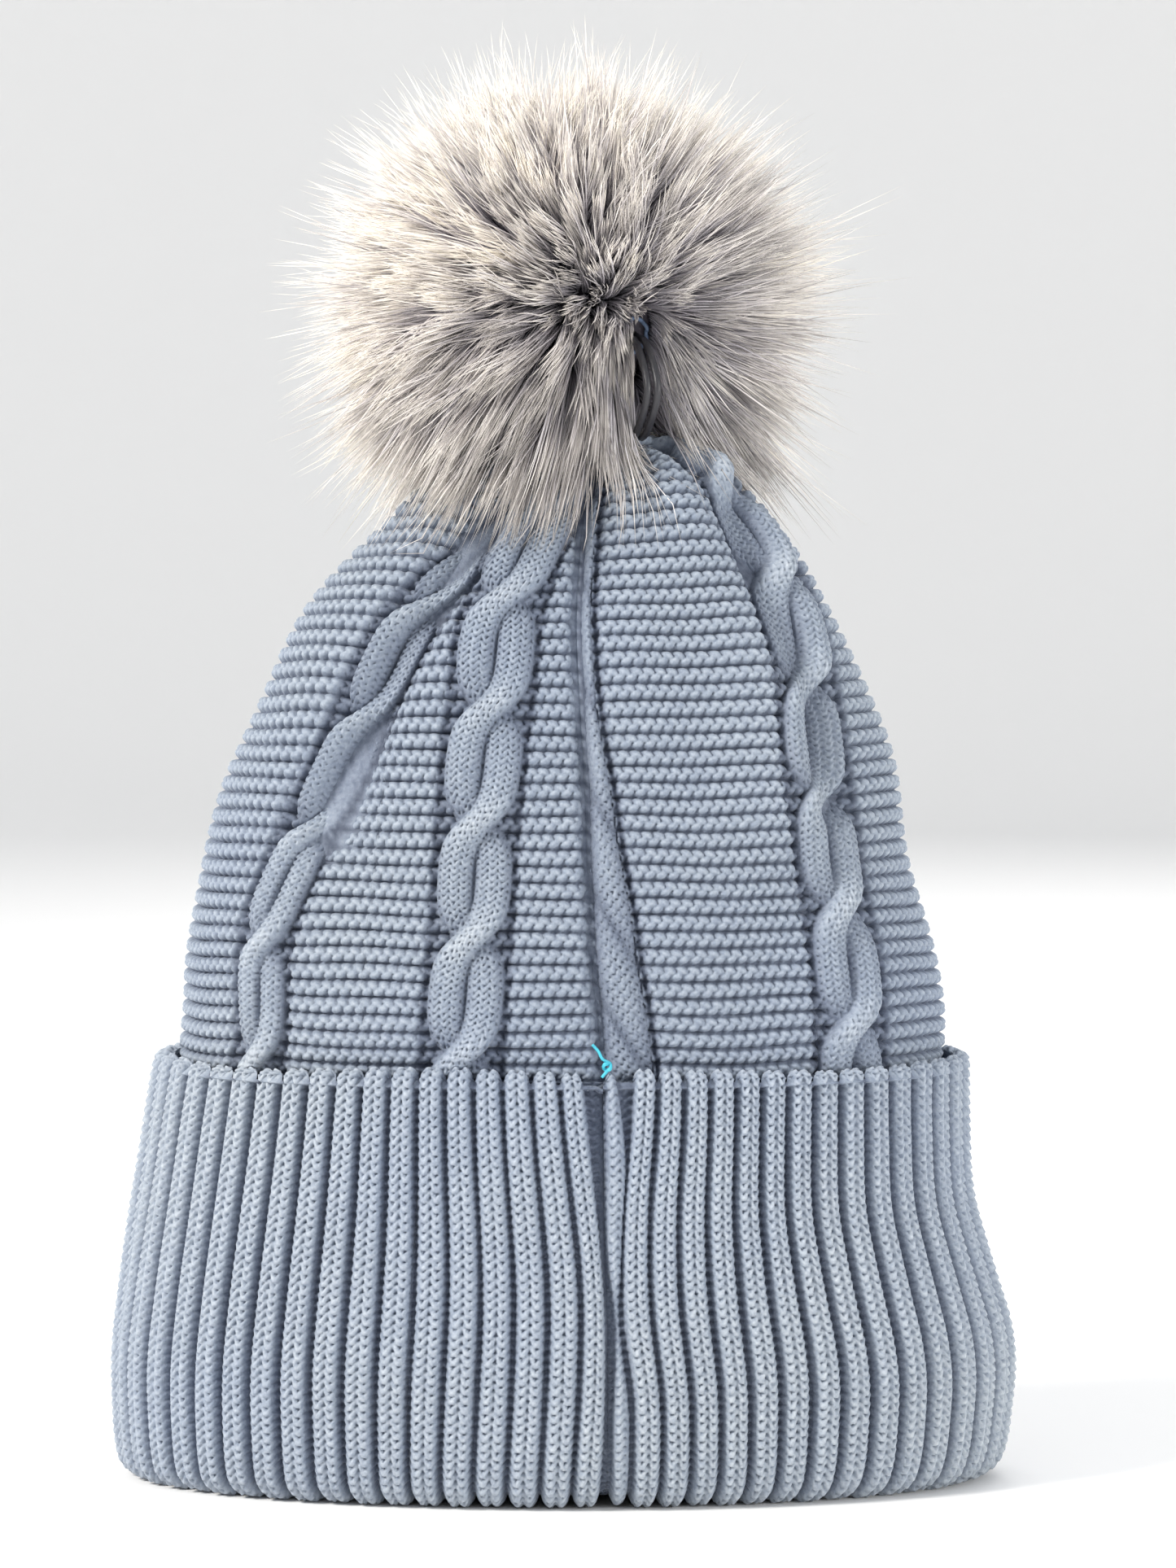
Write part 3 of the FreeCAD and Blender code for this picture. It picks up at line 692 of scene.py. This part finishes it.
def cable_height(across, run, half, phase):
    """Height of a two-strand cable over the ground."""
    beat = pi * run / CROSSING + phase
    swing = np.tanh(1.7 * np.cos(beat)) / tanh(1.7)
    turning = -np.sin(beat)
    strand = 0.52 * half
    best = np.full(np.broadcast(across, run).shape, NOWHERE)
    for side in (-1, 1):
        middle = side * strand * swing
        heading = side * turning
        off = across - middle
        dome = 1 - (off / strand) ** 2
        lift = 1.7 * heading * (1 - swing**2) ** 0.6
        legs = knit_legs(off, run + 0.8 * heading * off * (1 - swing**2), 2.3, 1.6, 0.47)
        dome_in = np.maximum(dome, 0)
        height = CABLE_RELIEF * np.sqrt(dome_in) + lift + 1.1 * legs * np.minimum(1, 4 * dome_in)
        best = np.maximum(best, np.where(dome > 0, height, NOWHERE))
    return best


def strip_height(across, run, half):
    """What is left of the cable that the seam cuts through: a column of leaning strands."""
    place = (run + STRIP_LEAN * across) / CROSSING
    place = place - np.round(place)
    strand = np.sqrt(1 - (2 * place) ** 2)
    edge = half * (0.86 + 0.14 * strand)
    dome = 1 - (across / edge) ** 2
    legs = knit_legs(place * CROSSING / STRIP_LEAN, run, 2.5, 1.75, 0.52)
    body = (0.2 + 2.5 * strand) * np.sqrt(np.maximum(dome, 0))
    return np.where(dome > 0, body + legs, NOWHERE)


def crease(x, z, path, width):
    """1 along a folded line and 0 a few widths away from it."""
    best = np.full(x.shape, 1e9)
    for (x0, z0), (x1, z1) in zip(path[:-1], path[1:]):
        run_x, run_z = x1 - x0, z1 - z0
        t = np.clip(((x - x0) * run_x + (z - z0) * run_z) / (run_x**2 + run_z**2), 0, 1)
        best = np.minimum(best, (x - x0 - t * run_x) ** 2 + (z - z0 - t * run_z) ** 2)
    return np.exp(-best / width**2)


def make_crown():
    """The cabled crown; gives back its rows' rising height, left edge, right edge and half depth."""
    height, left, right, depth, run = body_rows(CROWN_ROWS)
    top = run / run[-1]
    middle, half = ((left + right) / 2)[:, None], ((right - left) / 2)[:, None]
    start = asin((SEAM_X - 0.5) / 90.0)
    flat, _ = oval_angles(CROWN_COLUMNS, 90.0, 40.0, 0.0)
    share = step_up(top, 0.0, 1.0)[:, None]
    angle = flat[None, :] + start * (1 - share)
    shift_y = (-2.0 * step_up(top, 0.6, 1.0))[:, None]
    x, z = middle + half * np.sin(angle), height[:, None] + 0 * angle
    base = np.stack([x, shift_y - depth[:, None] * np.cos(angle), z], -1)
    step = np.linalg.norm(np.diff(base, axis=1), axis=-1)
    around = np.concatenate([np.zeros((CROWN_ROWS, 1)), np.cumsum(step, axis=1)], 1)
    total = around[:, -1:]
    signed = np.where(around > total / 2, around - total, around)
    rows = run[:, None]
    front = step_up(np.cos(angle), -0.15, 0.1)

    bump_across = signed + 0.5 * wander(signed, rows, 40, 31)
    bump_up = rows + 0.5 * wander(signed, rows, 45, 33)
    rise = GROUND_RELIEF * purl_bumps(bump_across, bump_up, BUMP, RIDGE)
    painted_hollow_shade = np.zeros_like(rise)
    is_cable = np.zeros_like(rise)

    def across_of(heights, places, back):
        """Distance round the crown from a cable's middle line."""
        centre = smooth_curve(np.maximum.accumulate(height), heights, places)[:, None]
        sine = np.clip((centre - middle) / half, -0.999, 0.999)
        turn = pi - np.arcsin(sine) if back else np.arcsin(sine)
        turn = (turn - angle[:, :1]) % (2 * pi) + angle[:, :1]
        at = np.array([np.interp(t, a, d) for t, a, d in zip(turn[:, 0], angle, around)])[:, None]
        gap = around - at
        return np.where(gap > total / 2, gap - total, np.where(gap < -total / 2, gap + total, gap))

    shrink = 0.35 + 0.65 * np.minimum(1, total / total[0] / 0.55)
    for number, cable in enumerate(FRONT_CABLES + BACK_CABLES):
        heights, places, wide = cable
        across = across_of(heights, places, number >= len(FRONT_CABLES))
        wide = wide * shrink
        phase = MID_CABLE_PHASE if cable is MID_CABLE else 0.6 + 1.1 * number
        raised = cable_height(across, rows, wide, phase)
        edge = bell(np.abs(across) - wide - 0.9, 0.9)
        inside = np.abs(across) < wide + 0.6
        lower = np.where(inside, rise - 1.3, rise - 1.2 * edge)
        is_cable = np.maximum(is_cable, inside & (raised > lower))
        # Painted shade in the hollow along each cable's edge.
        painted_hollow_shade = np.maximum(painted_hollow_shade, 0.7 * edge * (raised < lower))
        rise = np.maximum(lower, np.where(inside, raised, NOWHERE))
    wide = smooth_curve(run, STRIP_RUNS, STRIP_WIDTHS)[:, None]
    across = signed - 0.7 - wide
    raised = strip_height(across, rows, wide)
    edge = bell(across - wide - 0.9, 0.8)
    inside = np.abs(across) < wide
    rise = np.where(inside, np.maximum(raised, 0.1), rise - 1.5 * edge)
    painted_hollow_shade = np.maximum(painted_hollow_shade, edge)
    is_cable = np.maximum(is_cable, inside)

    fine = rise - np.where(is_cable > 0, 2.2, 0.0)
    # Painted light and shade: stitches that stand higher are paler, lower ones darker.
    relief = np.where(is_cable > 0, 0.36 + 0.16 * fine, 0.06 + 0.27 * rise)
    seam = bell(signed, 1.6)
    ladder = 0.5 * seam * np.sin(2 * pi * rows / 4.4)
    rise = rise * (1 - 0.6 * seam) - 3.6 * seam * (0.45 + 0.75 * top[:, None]) + ladder
    left_fold, right_fold, beside_left, beside_right = (crease(x, z, *fold) * front for fold in FOLDS)
    soft = 1.3 * wander(signed, rows, 46, 41) + 1.8 * wander(signed, rows, 95, 43)
    soft = soft * step_up(rows, 0, 22) - 2.4
    near_seam = bell(signed, 11) * (0.2 + 1.1 * top[:, None])
    pleats = 1.5 * step_up(top, 0.72, 0.97)[:, None] * np.sin(13 * angle + 0.8 * np.sin(3 * angle))
    rise = rise + soft - 3.2 * near_seam - 6.8 * left_fold + 3.0 * beside_left
    rise = rise - 5.5 * right_fold + 2.4 * beside_right + pleats
    settle = 1 - step_up(-rows, -7, -1)  # the bottom rows lie flat behind the cuff
    rise = rise * settle - 1.6 * (1 - settle)
    fade = step_up(1 - top, 0.0, 0.035)[:, None]  # the stitches fade out where the top is gathered
    rise = rise * fade

    out = normals_of(base)
    outer = base + out * rise[..., None]
    wall = (CROWN_INNER * (0.5 + 0.5 * fade))[..., None]
    inner = base - out * wall
    # The colour tone, with painted shade in the hollows beside the cables and the strip, along the seam and
    # in the two folds.
    painted_shade_tone = np.clip(relief - 0.3 * painted_hollow_shade - 0.25 * seam - 0.15 * left_fold - 0.15 * right_fold, 0, 1)
    last = (CROWN_ROWS - 1) // COARSE * COARSE + 1
    grids = [grid[:last] for grid in (outer, inner, painted_shade_tone)]
    make_wall("cabled_crown_{:02d}", CROWN_PIECES, grids, "knit_crown")
    return np.maximum.accumulate(height), left, right, depth


CROWN_SHAPE = make_crown()


# ---- the fur pom
STRANDS = 48000
STRANDS_PER_PIECE = 6000
RINGS = 5  # of points along a strand, between its root and its tip
SIDES = 3
CLUMPS = 1500
FUR_REACH = np.array([57.0, 47.0, 54.5])  # half sizes of the pile's oval
GUARD_SHARE = 0.10  # of strands that stand out of the pile
WISP_SHARE = 0.008  # of strands that stand out further
COMB = 0.55  # how far the hair is combed away from the parting
STRAND_PLACES = (0, 0.2, 0.55, 0.85, 1)
STRAND_RADII = (0.20, 0.25, 0.20, 0.12, 0.0)
PARTING_HALF = 4.4  # half width of the parting that the loop lies in
PARTING_SOFT = 4.0
FUR_LOWEST = 221.0
FUR_BACK, FUR_FRONT, FUR_TOP = 76, -52, 344  # hair that passes these is pressed back


def unit(v):
    """Vectors brought to length 1."""
    return v / np.maximum(np.linalg.norm(v, axis=-1, keepdims=True), 1e-9)


def crown_top_height(points):
    """Height of the crown's surface over each point, or far below it outside the crown."""
    height, left, right, depth = CROWN_SHAPE
    margin = 2.6  # the stitches' relief
    best = np.full(len(points), -1e3)
    for level in np.linspace(200, 247, 95):
        wide_left, wide_right = np.interp(level, height, left), np.interp(level, height, right)
        deep = np.interp(level, height, depth) + margin
        middle, half = (wide_left + wide_right) / 2, (wide_right - wide_left) / 2 + margin
        inside = ((points[:, 0] - middle) / half) ** 2 + ((points[:, 1] + 2.0) / deep) ** 2 < 1
        best = np.where(inside, level, best)
    return best


def pressed(value, limit, share):
    """A coordinate with only a share of what is past a limit; the limit's sign says which side is past."""
    past = value > limit if limit > 0 else value < limit
    return np.where(past, limit + share * (value - limit), value)


def make_fur():
    """The pom's pile: strands from the backing ball, in clumps, combed away from the ball's mouth."""
    draw = np.random.default_rng(23)
    number = np.arange(STRANDS)
    golden = pi * (3 - sqrt(5))
    z = 1 - 2 * (number + 0.5) / STRANDS
    turn = number * golden
    root = np.stack([np.sqrt(1 - z * z) * np.cos(turn), np.sqrt(1 - z * z) * np.sin(turn), z], -1)
    root = unit(root + draw.normal(0, 0.022, root.shape))

    parting = unit(MOUTH - BALL_CENTRE)
    away = root - (root @ parting)[:, None] * parting
    from_parting = np.arccos(np.clip(root @ parting, -1, 1))
    comb = unit(away) * (0.30 + 0.45 * bell(from_parting - 0.8, 0.6))[:, None]

    direction = unit(root + COMB * comb + draw.normal(0, 0.05, root.shape))
    full = 1 / np.linalg.norm(direction / FUR_REACH, axis=-1) - BALL_RADIUS
    length = full * draw.uniform(0.66, 1.0, STRANDS)
    guard = draw.uniform(0, 1, STRANDS) < GUARD_SHARE
    length = np.where(guard, full * draw.uniform(0.98, 1.22, STRANDS), length)
    wisp = draw.uniform(0, 1, STRANDS) < WISP_SHARE
    length = np.where(wisp, full * draw.uniform(1.18, 1.34, STRANDS), length)
    hanging = np.clip(-2.2 * root[:, 2], 0, 1) * np.clip(-2.0 * root[:, 1], 0, 1)
    length = length * (1 + 0.22 * hanging)
    mouth_gap = step_up(from_parting, 0.10, 0.34)
    length = length * (0.32 + 0.68 * mouth_gap)

    pick = unit(draw.normal(0, 1, (CLUMPS, 3)))
    nearest = np.empty(STRANDS, int)
    for begin in range(0, STRANDS, STRANDS_PER_PIECE):
        batch = slice(begin, begin + STRANDS_PER_PIECE)
        nearest[batch] = np.argmax(root[batch] @ pick.T, axis=1)
    lean = draw.normal(0, 0.16, (CLUMPS, 3))
    clump_reach = draw.uniform(0.90, 1.08, CLUMPS)
    length = length * np.where(guard | wisp, 1.0, clump_reach[nearest])
    pull = np.where(guard | wisp, 0.25, draw.uniform(0.45, 0.8, STRANDS))[:, None]

    t = np.linspace(0, 1, RINGS + 2)
    start = BALL_CENTRE + root * (BALL_RADIUS - 1.0)
    wave_a, wave_b = draw.normal(0, 1, (STRANDS, 3)), draw.normal(0, 1, (STRANDS, 3))
    clump_line = unit(pick[nearest] + lean[nearest])
    path = []
    for share in t:
        combed = comb * COMB * share**1.4
        straight = root * (1 - 0.5 * share) + (0.5 * share) * direction * 1.15 + combed
        stray = wave_a * 0.05 * share + wave_b * 0.045 * sin(5.0 * share) + lean[nearest] * share**1.5
        along = start + length[:, None] * share * (straight + stray)
        gather = start * 0.35 + 0.65 * (BALL_CENTRE + pick[nearest] * (BALL_RADIUS - 1.0))
        gather = gather + length[:, None] * share * (clump_line + combed)
        point = along + (gather - along) * pull * share**1.3
        point[:, 2] -= (3.0 + 12.0 * hanging) * share**2
        point[:, 1] -= 7.0 * hanging * share
        path.append(point)
    path = np.stack(path, 1)
    flat = path.reshape(-1, 3)
    floor = crown_top_height(flat) + 1.2
    depth_in = floor - flat[:, 2]
    flat[:, 2] = np.where(depth_in > 0, floor + 0.06 * depth_in, flat[:, 2])
    flat[:, 2] = np.maximum(flat[:, 2], FUR_LOWEST)
    path = flat.reshape(STRANDS, RINGS + 2, 3)

    parting_x = MOUTH[0] + 2.6  # the loop bulges to this side of the mouth
    side = np.where(path[:, 1:3, 0].mean(1) < parting_x, -1.0, 1.0)[:, None]
    off = (path[..., 0] - parting_x) * side
    opened = PARTING_SOFT * np.logaddexp(0, (off - PARTING_HALF) / PARTING_SOFT)
    apart = PARTING_HALF + opened - PARTING_SOFT * log(2) * np.exp(-np.maximum(off, 0) / PARTING_SOFT)
    zone = step_up(-path[..., 1], -6.0, 1.0) * step_up(path[..., 2], 232, 246)
    zone = zone * step_up(-path[..., 2], -286, -272) * step_up(-np.abs(off), -26, -12)
    path[..., 0] += side * zone * (apart - off)
    path[..., 1] = pressed(pressed(path[..., 1], FUR_BACK, 0.4), FUR_FRONT, 0.4)
    path[..., 2] = pressed(path[..., 2], FUR_TOP, 0.6)

    tangent = unit(np.gradient(path, axis=1))
    side = unit(np.cross(tangent, unit(draw.normal(0, 1, (STRANDS, 1, 3)))))
    other = np.cross(tangent, side)
    thick = np.interp(t, STRAND_PLACES, STRAND_RADII)
    thick = thick[None, :] * draw.uniform(0.8, 1.15, STRANDS)[:, None]
    rings = []
    for k in range(SIDES):
        angle = 2 * pi * k / SIDES
        across = (cos(angle) * side + sin(angle) * other)[:, 1:-1]
        rings.append(path[:, 1:-1] + across * thick[:, 1:-1, None])
    rings = np.stack(rings, 2)

    per = RINGS * SIDES + 2  # points of a strand: its rings, its root and its tip
    cap_faces, quad_faces, cap_uv, quad_uv = [], [], [], []
    for k in range(SIDES):
        after = (k + 1) % SIDES
        end = (RINGS - 1) * SIDES
        cap_faces += [(per - 2, after, k), (end + k, end + after, per - 1)]
        cap_uv += [((k + 0.5, 0), (k + 1, 1), (k, 1)), ((k, RINGS), (k + 1, RINGS), (k + 0.5, RINGS + 1))]
        for ring in range(RINGS - 1):
            low, high = ring * SIDES, (ring + 1) * SIDES
            quad_faces.append((low + k, low + after, high + after, high + k))
            quad_uv.append(((k, ring + 1), (k + 1, ring + 1), (k + 1, ring + 2), (k, ring + 2)))
    cap_faces, quad_faces = np.array(cap_faces), np.array(quad_faces)
    cell = np.array([SIDES, RINGS + 1.0])
    cap_uv, quad_uv = np.array(cap_uv) / cell, np.array(quad_uv) / cell

    # Each strand's tone: darker or paler at random by clump and by strand, with painted shade near the
    # mouth's parting and on the hanging underside.
    strand_tone_and_shade = 0.46 + 0.16 * draw.normal(0, 1, CLUMPS)[nearest] + 0.14 * draw.normal(0, 1, STRANDS)
    strand_tone_and_shade = np.clip(strand_tone_and_shade + 0.32 * step_up(from_parting, 0.5, 1.5) - 0.2 - 0.2 * hanging, 0, 1)
    order = np.argsort(np.arctan2(root[:, 0], -root[:, 1]), kind="stable")
    across = ceil(sqrt(STRANDS_PER_PIECE))
    for number in range(STRANDS // STRANDS_PER_PIECE):
        chosen = order[number * STRANDS_PER_PIECE : (number + 1) * STRANDS_PER_PIECE]
        count = len(chosen)
        body = rings[chosen].reshape(count, -1, 3)
        points = np.concatenate([body, path[chosen, :1], path[chosen, -1:]], 1).reshape(-1, 3)
        shift = (np.arange(count) * per)[:, None, None]
        faces = [(cap_faces[None] + shift).reshape(-1, 3), (quad_faces[None] + shift).reshape(-1, 4)]
        along = np.concatenate([np.repeat(t[1:-1], SIDES), [0, 1]])
        corner = np.stack([np.arange(count) % across, np.arange(count) // across], -1)[:, None, None, :]
        uv = [((corner + 0.06 + 0.88 * each[None]) / across).reshape(-1, 2) for each in (cap_uv, quad_uv)]
        piece = mesh_from(
            f"fur_pile_{number + 1:02d}",
            points,
            faces,
            FUR,
            {"along": np.tile(along, count), "strand": np.repeat(strand_tone_and_shade[chosen], per)},
            loop_uv=np.concatenate(uv),
        )
        place_piece(piece, "pom", "pom_fur_pile")


make_fur()

# ---- cords, threads and other small pieces
def tube(name, line, radius, material, plies=2, turn_length=3.0, relief=0.16, closed=False, sides=14):
    """A plied round cord along points in millimetres. A closed one's last point repeats its first."""
    line = np.asarray(line, float)
    if closed:
        line = line[:-1]
    ahead, behind = np.roll(line, -1, 0), np.roll(line, 1, 0)
    if not closed:
        ahead[-1], behind[0] = line[-1], line[0]
    tangent = unit(ahead - behind)
    across = np.cross(tangent[0], [0.3, 0.5, 0.8])
    frames = []
    for each in tangent:
        across = across - (across @ each) * each
        across = across / np.linalg.norm(across)
        frames.append(across)
    across = np.array(frames)
    other = np.cross(tangent, across)
    run = np.concatenate([[0], np.cumsum(np.linalg.norm(np.diff(line, axis=0), axis=1))])
    angle = np.linspace(0, 2 * pi, sides, endpoint=False)
    twist = angle[None] + 2 * pi * run[:, None] / turn_length
    lobes = 1 + relief * (np.abs(np.sin(plies / 2 * twist)) - 0.6)
    size = radius * lobes
    ring = across[:, None] * np.cos(angle)[None, :, None] + other[:, None] * np.sin(angle)[None, :, None]
    points = (line[:, None] + ring * size[..., None]).reshape(-1, 3)
    rows = len(line)
    index = np.arange(rows * sides).reshape(rows, sides)
    wrap = np.roll(index, -1, 1)
    walls = np.stack([index, wrap, np.roll(wrap, -1, 0), np.roll(index, -1, 0)], -1)
    if closed:
        faces = [walls.reshape(-1, 4)]
    else:
        faces = [walls[:-1].reshape(-1, 4), index[:1, ::-1], index[-1:]]
    # Painted shade in the grooves between the plies, and paler crowns.
    painted_shade_tone = np.clip(0.2 + 0.9 * (lobes.ravel() - 0.9) * 3, 0, 1)
    return mesh_from(name, points, faces, material, {"painted_shade_tone": painted_shade_tone})


def smooth_line(corners, count):
    """Points at even steps of a smooth line through corners."""
    corners = np.asarray(corners, float)
    length = np.concatenate([[0], np.cumsum(np.linalg.norm(np.diff(corners, axis=0), axis=1))])
    at = np.linspace(0, length[-1], count)
    return np.stack([smooth_curve(at, length, corners[:, k]) for k in range(3)], -1)


LOOP_RADIUS = 0.9
STRAND_OFFSET = 1.15  # of each strand of the loop from their middle line
TURN_RADIUS = 1.65  # of the loop round the button's shank
LOOP_ROWS = 150


def make_loop():
    """The black elastic: two strands from the disc, bulging forward under the mouth, to the button."""
    disc_low, disc_high = node_box("pom_anchor_disc")
    inside = (disc_low + disc_high) / 2
    shank_low, shank_high = node_box("button_thread")
    under = (shank_low[2] + shank_high[2]) / 2 - 1.7
    bend_y = shank_low[1] + 2.9
    strands = []
    for side in (-1, 1):
        apart = np.array([STRAND_OFFSET * side, 0, 0])
        narrow = np.array([GATHER[0], 0, 0]) + 1.32 * apart
        corners = [
            inside + apart,
            MOUTH + apart,
            MOUTH + [2.6, -12.0, -3] + apart,
            MOUTH + [4.8, -18.0, -13] + apart,
            MOUTH + [2.6, -12.0, -22] + apart,
            GATHER + [0.2, 0.2, -1] + apart,
            narrow + [0, GATHER[1], GATHER[2] - 6],
            narrow + [0, bend_y, GATHER[2] - 12.5],
            narrow + [0, bend_y, under + 4.0],
        ]
        strands.append(smooth_line(corners, LOOP_ROWS))
    turn = []
    for a in np.linspace(0, pi, 9):
        x, z = TURN_RADIUS * cos(a), TURN_RADIUS * sin(a)
        turn.append((GATHER[0] + x, bend_y, under + 1.2 - z))
    line = np.concatenate([strands[1], turn, strands[0][::-1]])
    name = "elastic_hanging_loop"
    piece = tube(name, line, LOOP_RADIUS, ELASTIC, plies=6, turn_length=5.0, relief=0.12, sides=16)
    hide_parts("elastic_loop")
    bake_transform(piece)


def make_threads():
    """The yarn round the gathered top, the turquoise knot, the closing stitch and the seams' threads."""
    ring = []
    for a in np.linspace(0, 2 * pi, 121):
        height = (RING_LOW[2] + RING_HIGH[2]) / 2 + 0.25 * sin(5 * a)
        ring.append((GATHER[0] + 5.2 * cos(a), GATHER[1] + 5.2 * sin(a), height))
    yarn = tube("gathering_yarn_ring", ring, 1.1, KNIT, closed=True)
    place_piece(yarn, "hat", "crown_gathering_yarn")

    foot = np.array([SEAM_X, KNOT_LOW[1] + 0.9, CUFF_TOP + 0.9])
    coil = []
    for t in np.linspace(0, 1, 60):
        a = 2 * pi * 2.2 * t
        coil.append(foot + [0.85 * cos(a), -0.3 + 0.55 * sin(2 * a), 0.8 * sin(a) + 0.5 * t])
    tail = [coil[-1], foot + [-1.0, -0.5, 2.0], foot + [-2.0, -0.3, 3.8], foot + [-3.4, -0.6, 5.4]]
    stub = [foot + [-1.2, -0.4, -2.2], foot + [-0.4, -0.5, -1.2], coil[0]]
    line = np.concatenate([smooth_line(stub, 16)[:-1], coil, smooth_line(tail, 40)[1:]])
    knot = tube("turquoise_knot", line, 0.36, TURQUOISE, turn_length=1.6, sides=8)
    place_piece(knot, "hat", "seam_thread_knot")

    mouth_axis = unit(MOUTH - BALL_CENTRE)
    first = unit(np.cross(mouth_axis, [0, 0, 1]))
    second = np.cross(mouth_axis, first)
    ring = []
    for a in np.linspace(0, 2 * pi, 121):
        out = cos(a) * first + sin(a) * second
        ring.append(MOUTH + 4.4 * out + 0.35 * sin(9 * a) * mouth_axis)
    stitch = tube("pom_closing_stitch", ring, 0.5, THREAD, closed=True, sides=8)
    place_piece(stitch, "pom", "pom_closing_thread")

    height, _, _, depth = CROWN_SHAPE
    for zone in ("crown", "rib"):
        node = zone + "_seam_thread"
        low, high = node_box(node)
        levels = np.linspace(low[2] + 1, high[2] - 1, int((high[2] - low[2]) * 5))
        if zone == "crown":
            wall = -(np.interp(levels, height, depth) - 6.2)
        else:
            wall = np.full(levels.shape, high[1] - 1.4)
        wall = np.clip(wall, low[1] + 0.6, high[1] - 0.6)
        beat = 2 * pi * levels / 3.2
        middle = (low[0] + high[0]) / 2
        line = np.stack([middle + 1.9 * np.cos(beat), wall + 0.5 * np.sin(beat), levels], -1)
        seam = tube(zone + "_overcast_seam", line, 0.42, THREAD, turn_length=1.8, sides=8)
        place_piece(seam, "hat", node)


BAND_RIB_CELLS = 12
BAND_PIECES = 3
BAND_INSETS = (5.9, 8.6)  # of the band's two sides from the cuff's outside


def make_band():
    """The inner layer of the brim: its ribbed face looks into the hat."""
    columns, rows = RIBS * BAND_RIB_CELLS, 129
    angles, length = oval_angles(columns, 98.0, 43.0, SEAM_X)
    heights = np.linspace(HEM_RADIUS + 1.0, CUFF_TOP - 6.5, rows)[:, None]
    distance = np.linspace(0, length, columns + 1)[None, :]
    outer, inner = (cuff_point(angles[None, :], heights, inset) for inset in BAND_INSETS)
    rise, top, legs = rib_height(distance, heights, heights, length)
    shown = inner - normals_of(inner) * (rise * 0.4)[..., None]
    # Painted shade: the purl grooves darker, the ribs' crowns and stitch legs paler.
    painted_shade_tone = np.clip(0.12 + 0.52 * top + 0.4 * (legs - 0.45), 0, 1)
    backwards = slice(None, None, -1)
    make_wall("inner_rib_band_{}", BAND_PIECES, (shown, outer, painted_shade_tone), "rib_inner_band", backwards)


LABEL_THICKNESS = 0.35


def make_label():
    """A blank satin label, sewn flat inside the back wall along its top edge and curling a little below."""
    low, high = node_box("care_label")
    height, left, right, depth = CROWN_SHAPE
    across = np.linspace(low[0], high[0], 41)[None, :]
    up = np.linspace(low[2], high[2], 57)[:, None]
    wall = np.interp(up, height, depth) - 5.6
    half = np.interp(up, height, (right - left) / 2) - 5.0
    deep = -wall * np.sqrt(1 - (across / half) ** 2)
    curl = 0.5 * (1 - step_up(up, low[2], high[2])) * (1 + np.sin(across / 5.0))
    y = np.clip(deep + curl, low[1] + 0.3, high[1] - 0.1)
    shown = np.stack([across + 0 * up, y, up + 0 * across], -1)
    hidden = shown - np.array([0, LABEL_THICKNESS, 0])
    painted_shade_tone = np.ones(shown.shape[:2])
    piece = closed_patch("blank_care_label", shown[:, ::-1], hidden[:, ::-1], painted_shade_tone, SATIN)
    place_piece(piece, "hat", "care_label")


def make_ball():
    """The stuffed ball of backing cloth under the fur, drawn in at its mouth, and the filling inside it."""
    around, up = 144, 96
    turns = np.linspace(0, 2 * pi, around, endpoint=False)
    angle, tilt = np.meshgrid(turns, np.linspace(0, pi, up + 1)[1:-1])
    normal = np.stack([np.sin(tilt) * np.cos(angle), np.sin(tilt) * np.sin(angle), np.cos(tilt)], -1)
    normal = np.concatenate([normal.reshape(-1, 3), [[0, 0, 1], [0, 0, -1]]])
    axis = unit(MOUTH - BALL_CENTRE)
    away = np.arccos(np.clip(normal @ axis, -1, 1))
    first = unit(np.cross(axis, [0, 0, 1]))
    spin = np.arctan2(normal @ np.cross(axis, first), normal @ first)
    index = np.arange(around * (up - 1)).reshape(up - 1, around)
    wrap = np.roll(index, -1, 1)
    quads = np.stack([index[:-1], index[1:], wrap[1:], wrap[:-1]], -1).reshape(-1, 4)
    poles = np.concatenate(
        [
            np.stack([np.full(around, len(normal) - 2), index[0], wrap[0]], -1),
            np.stack([np.full(around, len(normal) - 1), wrap[-1], index[-1]], -1),
        ]
    )
    for name, node, slot, material, radius, lumps in (
        ("stuffed_backing_ball", "pom_backing", "backing_cloth", BACKING, BALL_RADIUS - 0.4, 0.5),
        ("fibre_ball", "pom_stuffing", "stuffing", STUFFING, BALL_RADIUS - 2.2, 0.3),
    ):
        gathers = 0.7 * np.cos(14 * spin) * bell(away - 0.3, 0.25)
        dent = 1.5 * bell(away, 0.12)
        uneven = lumps * wander(normal[:, 0] * 30, normal[:, 1] * 30 + normal[:, 2] * 17, 14, 51)
        size = radius + gathers - dent + uneven - lumps
        piece = mesh_from(name, BALL_CENTRE + normal * size[:, None], [quads, poles], material)
        place_piece(piece, "pom", node)


make_loop()
make_threads()
make_band()
make_label()
make_ball()

# CAD pieces that show as they are, each with its material.
HARD_PARTS = {
    "button_thread": THREAD,
    "inner_button": PLASTIC,
    "loop_knot": ELASTIC,
    "pom_anchor_disc": PLASTIC,
}
for node, material in HARD_PARTS.items():
    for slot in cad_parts[node].material_slots:
        slot.material = material
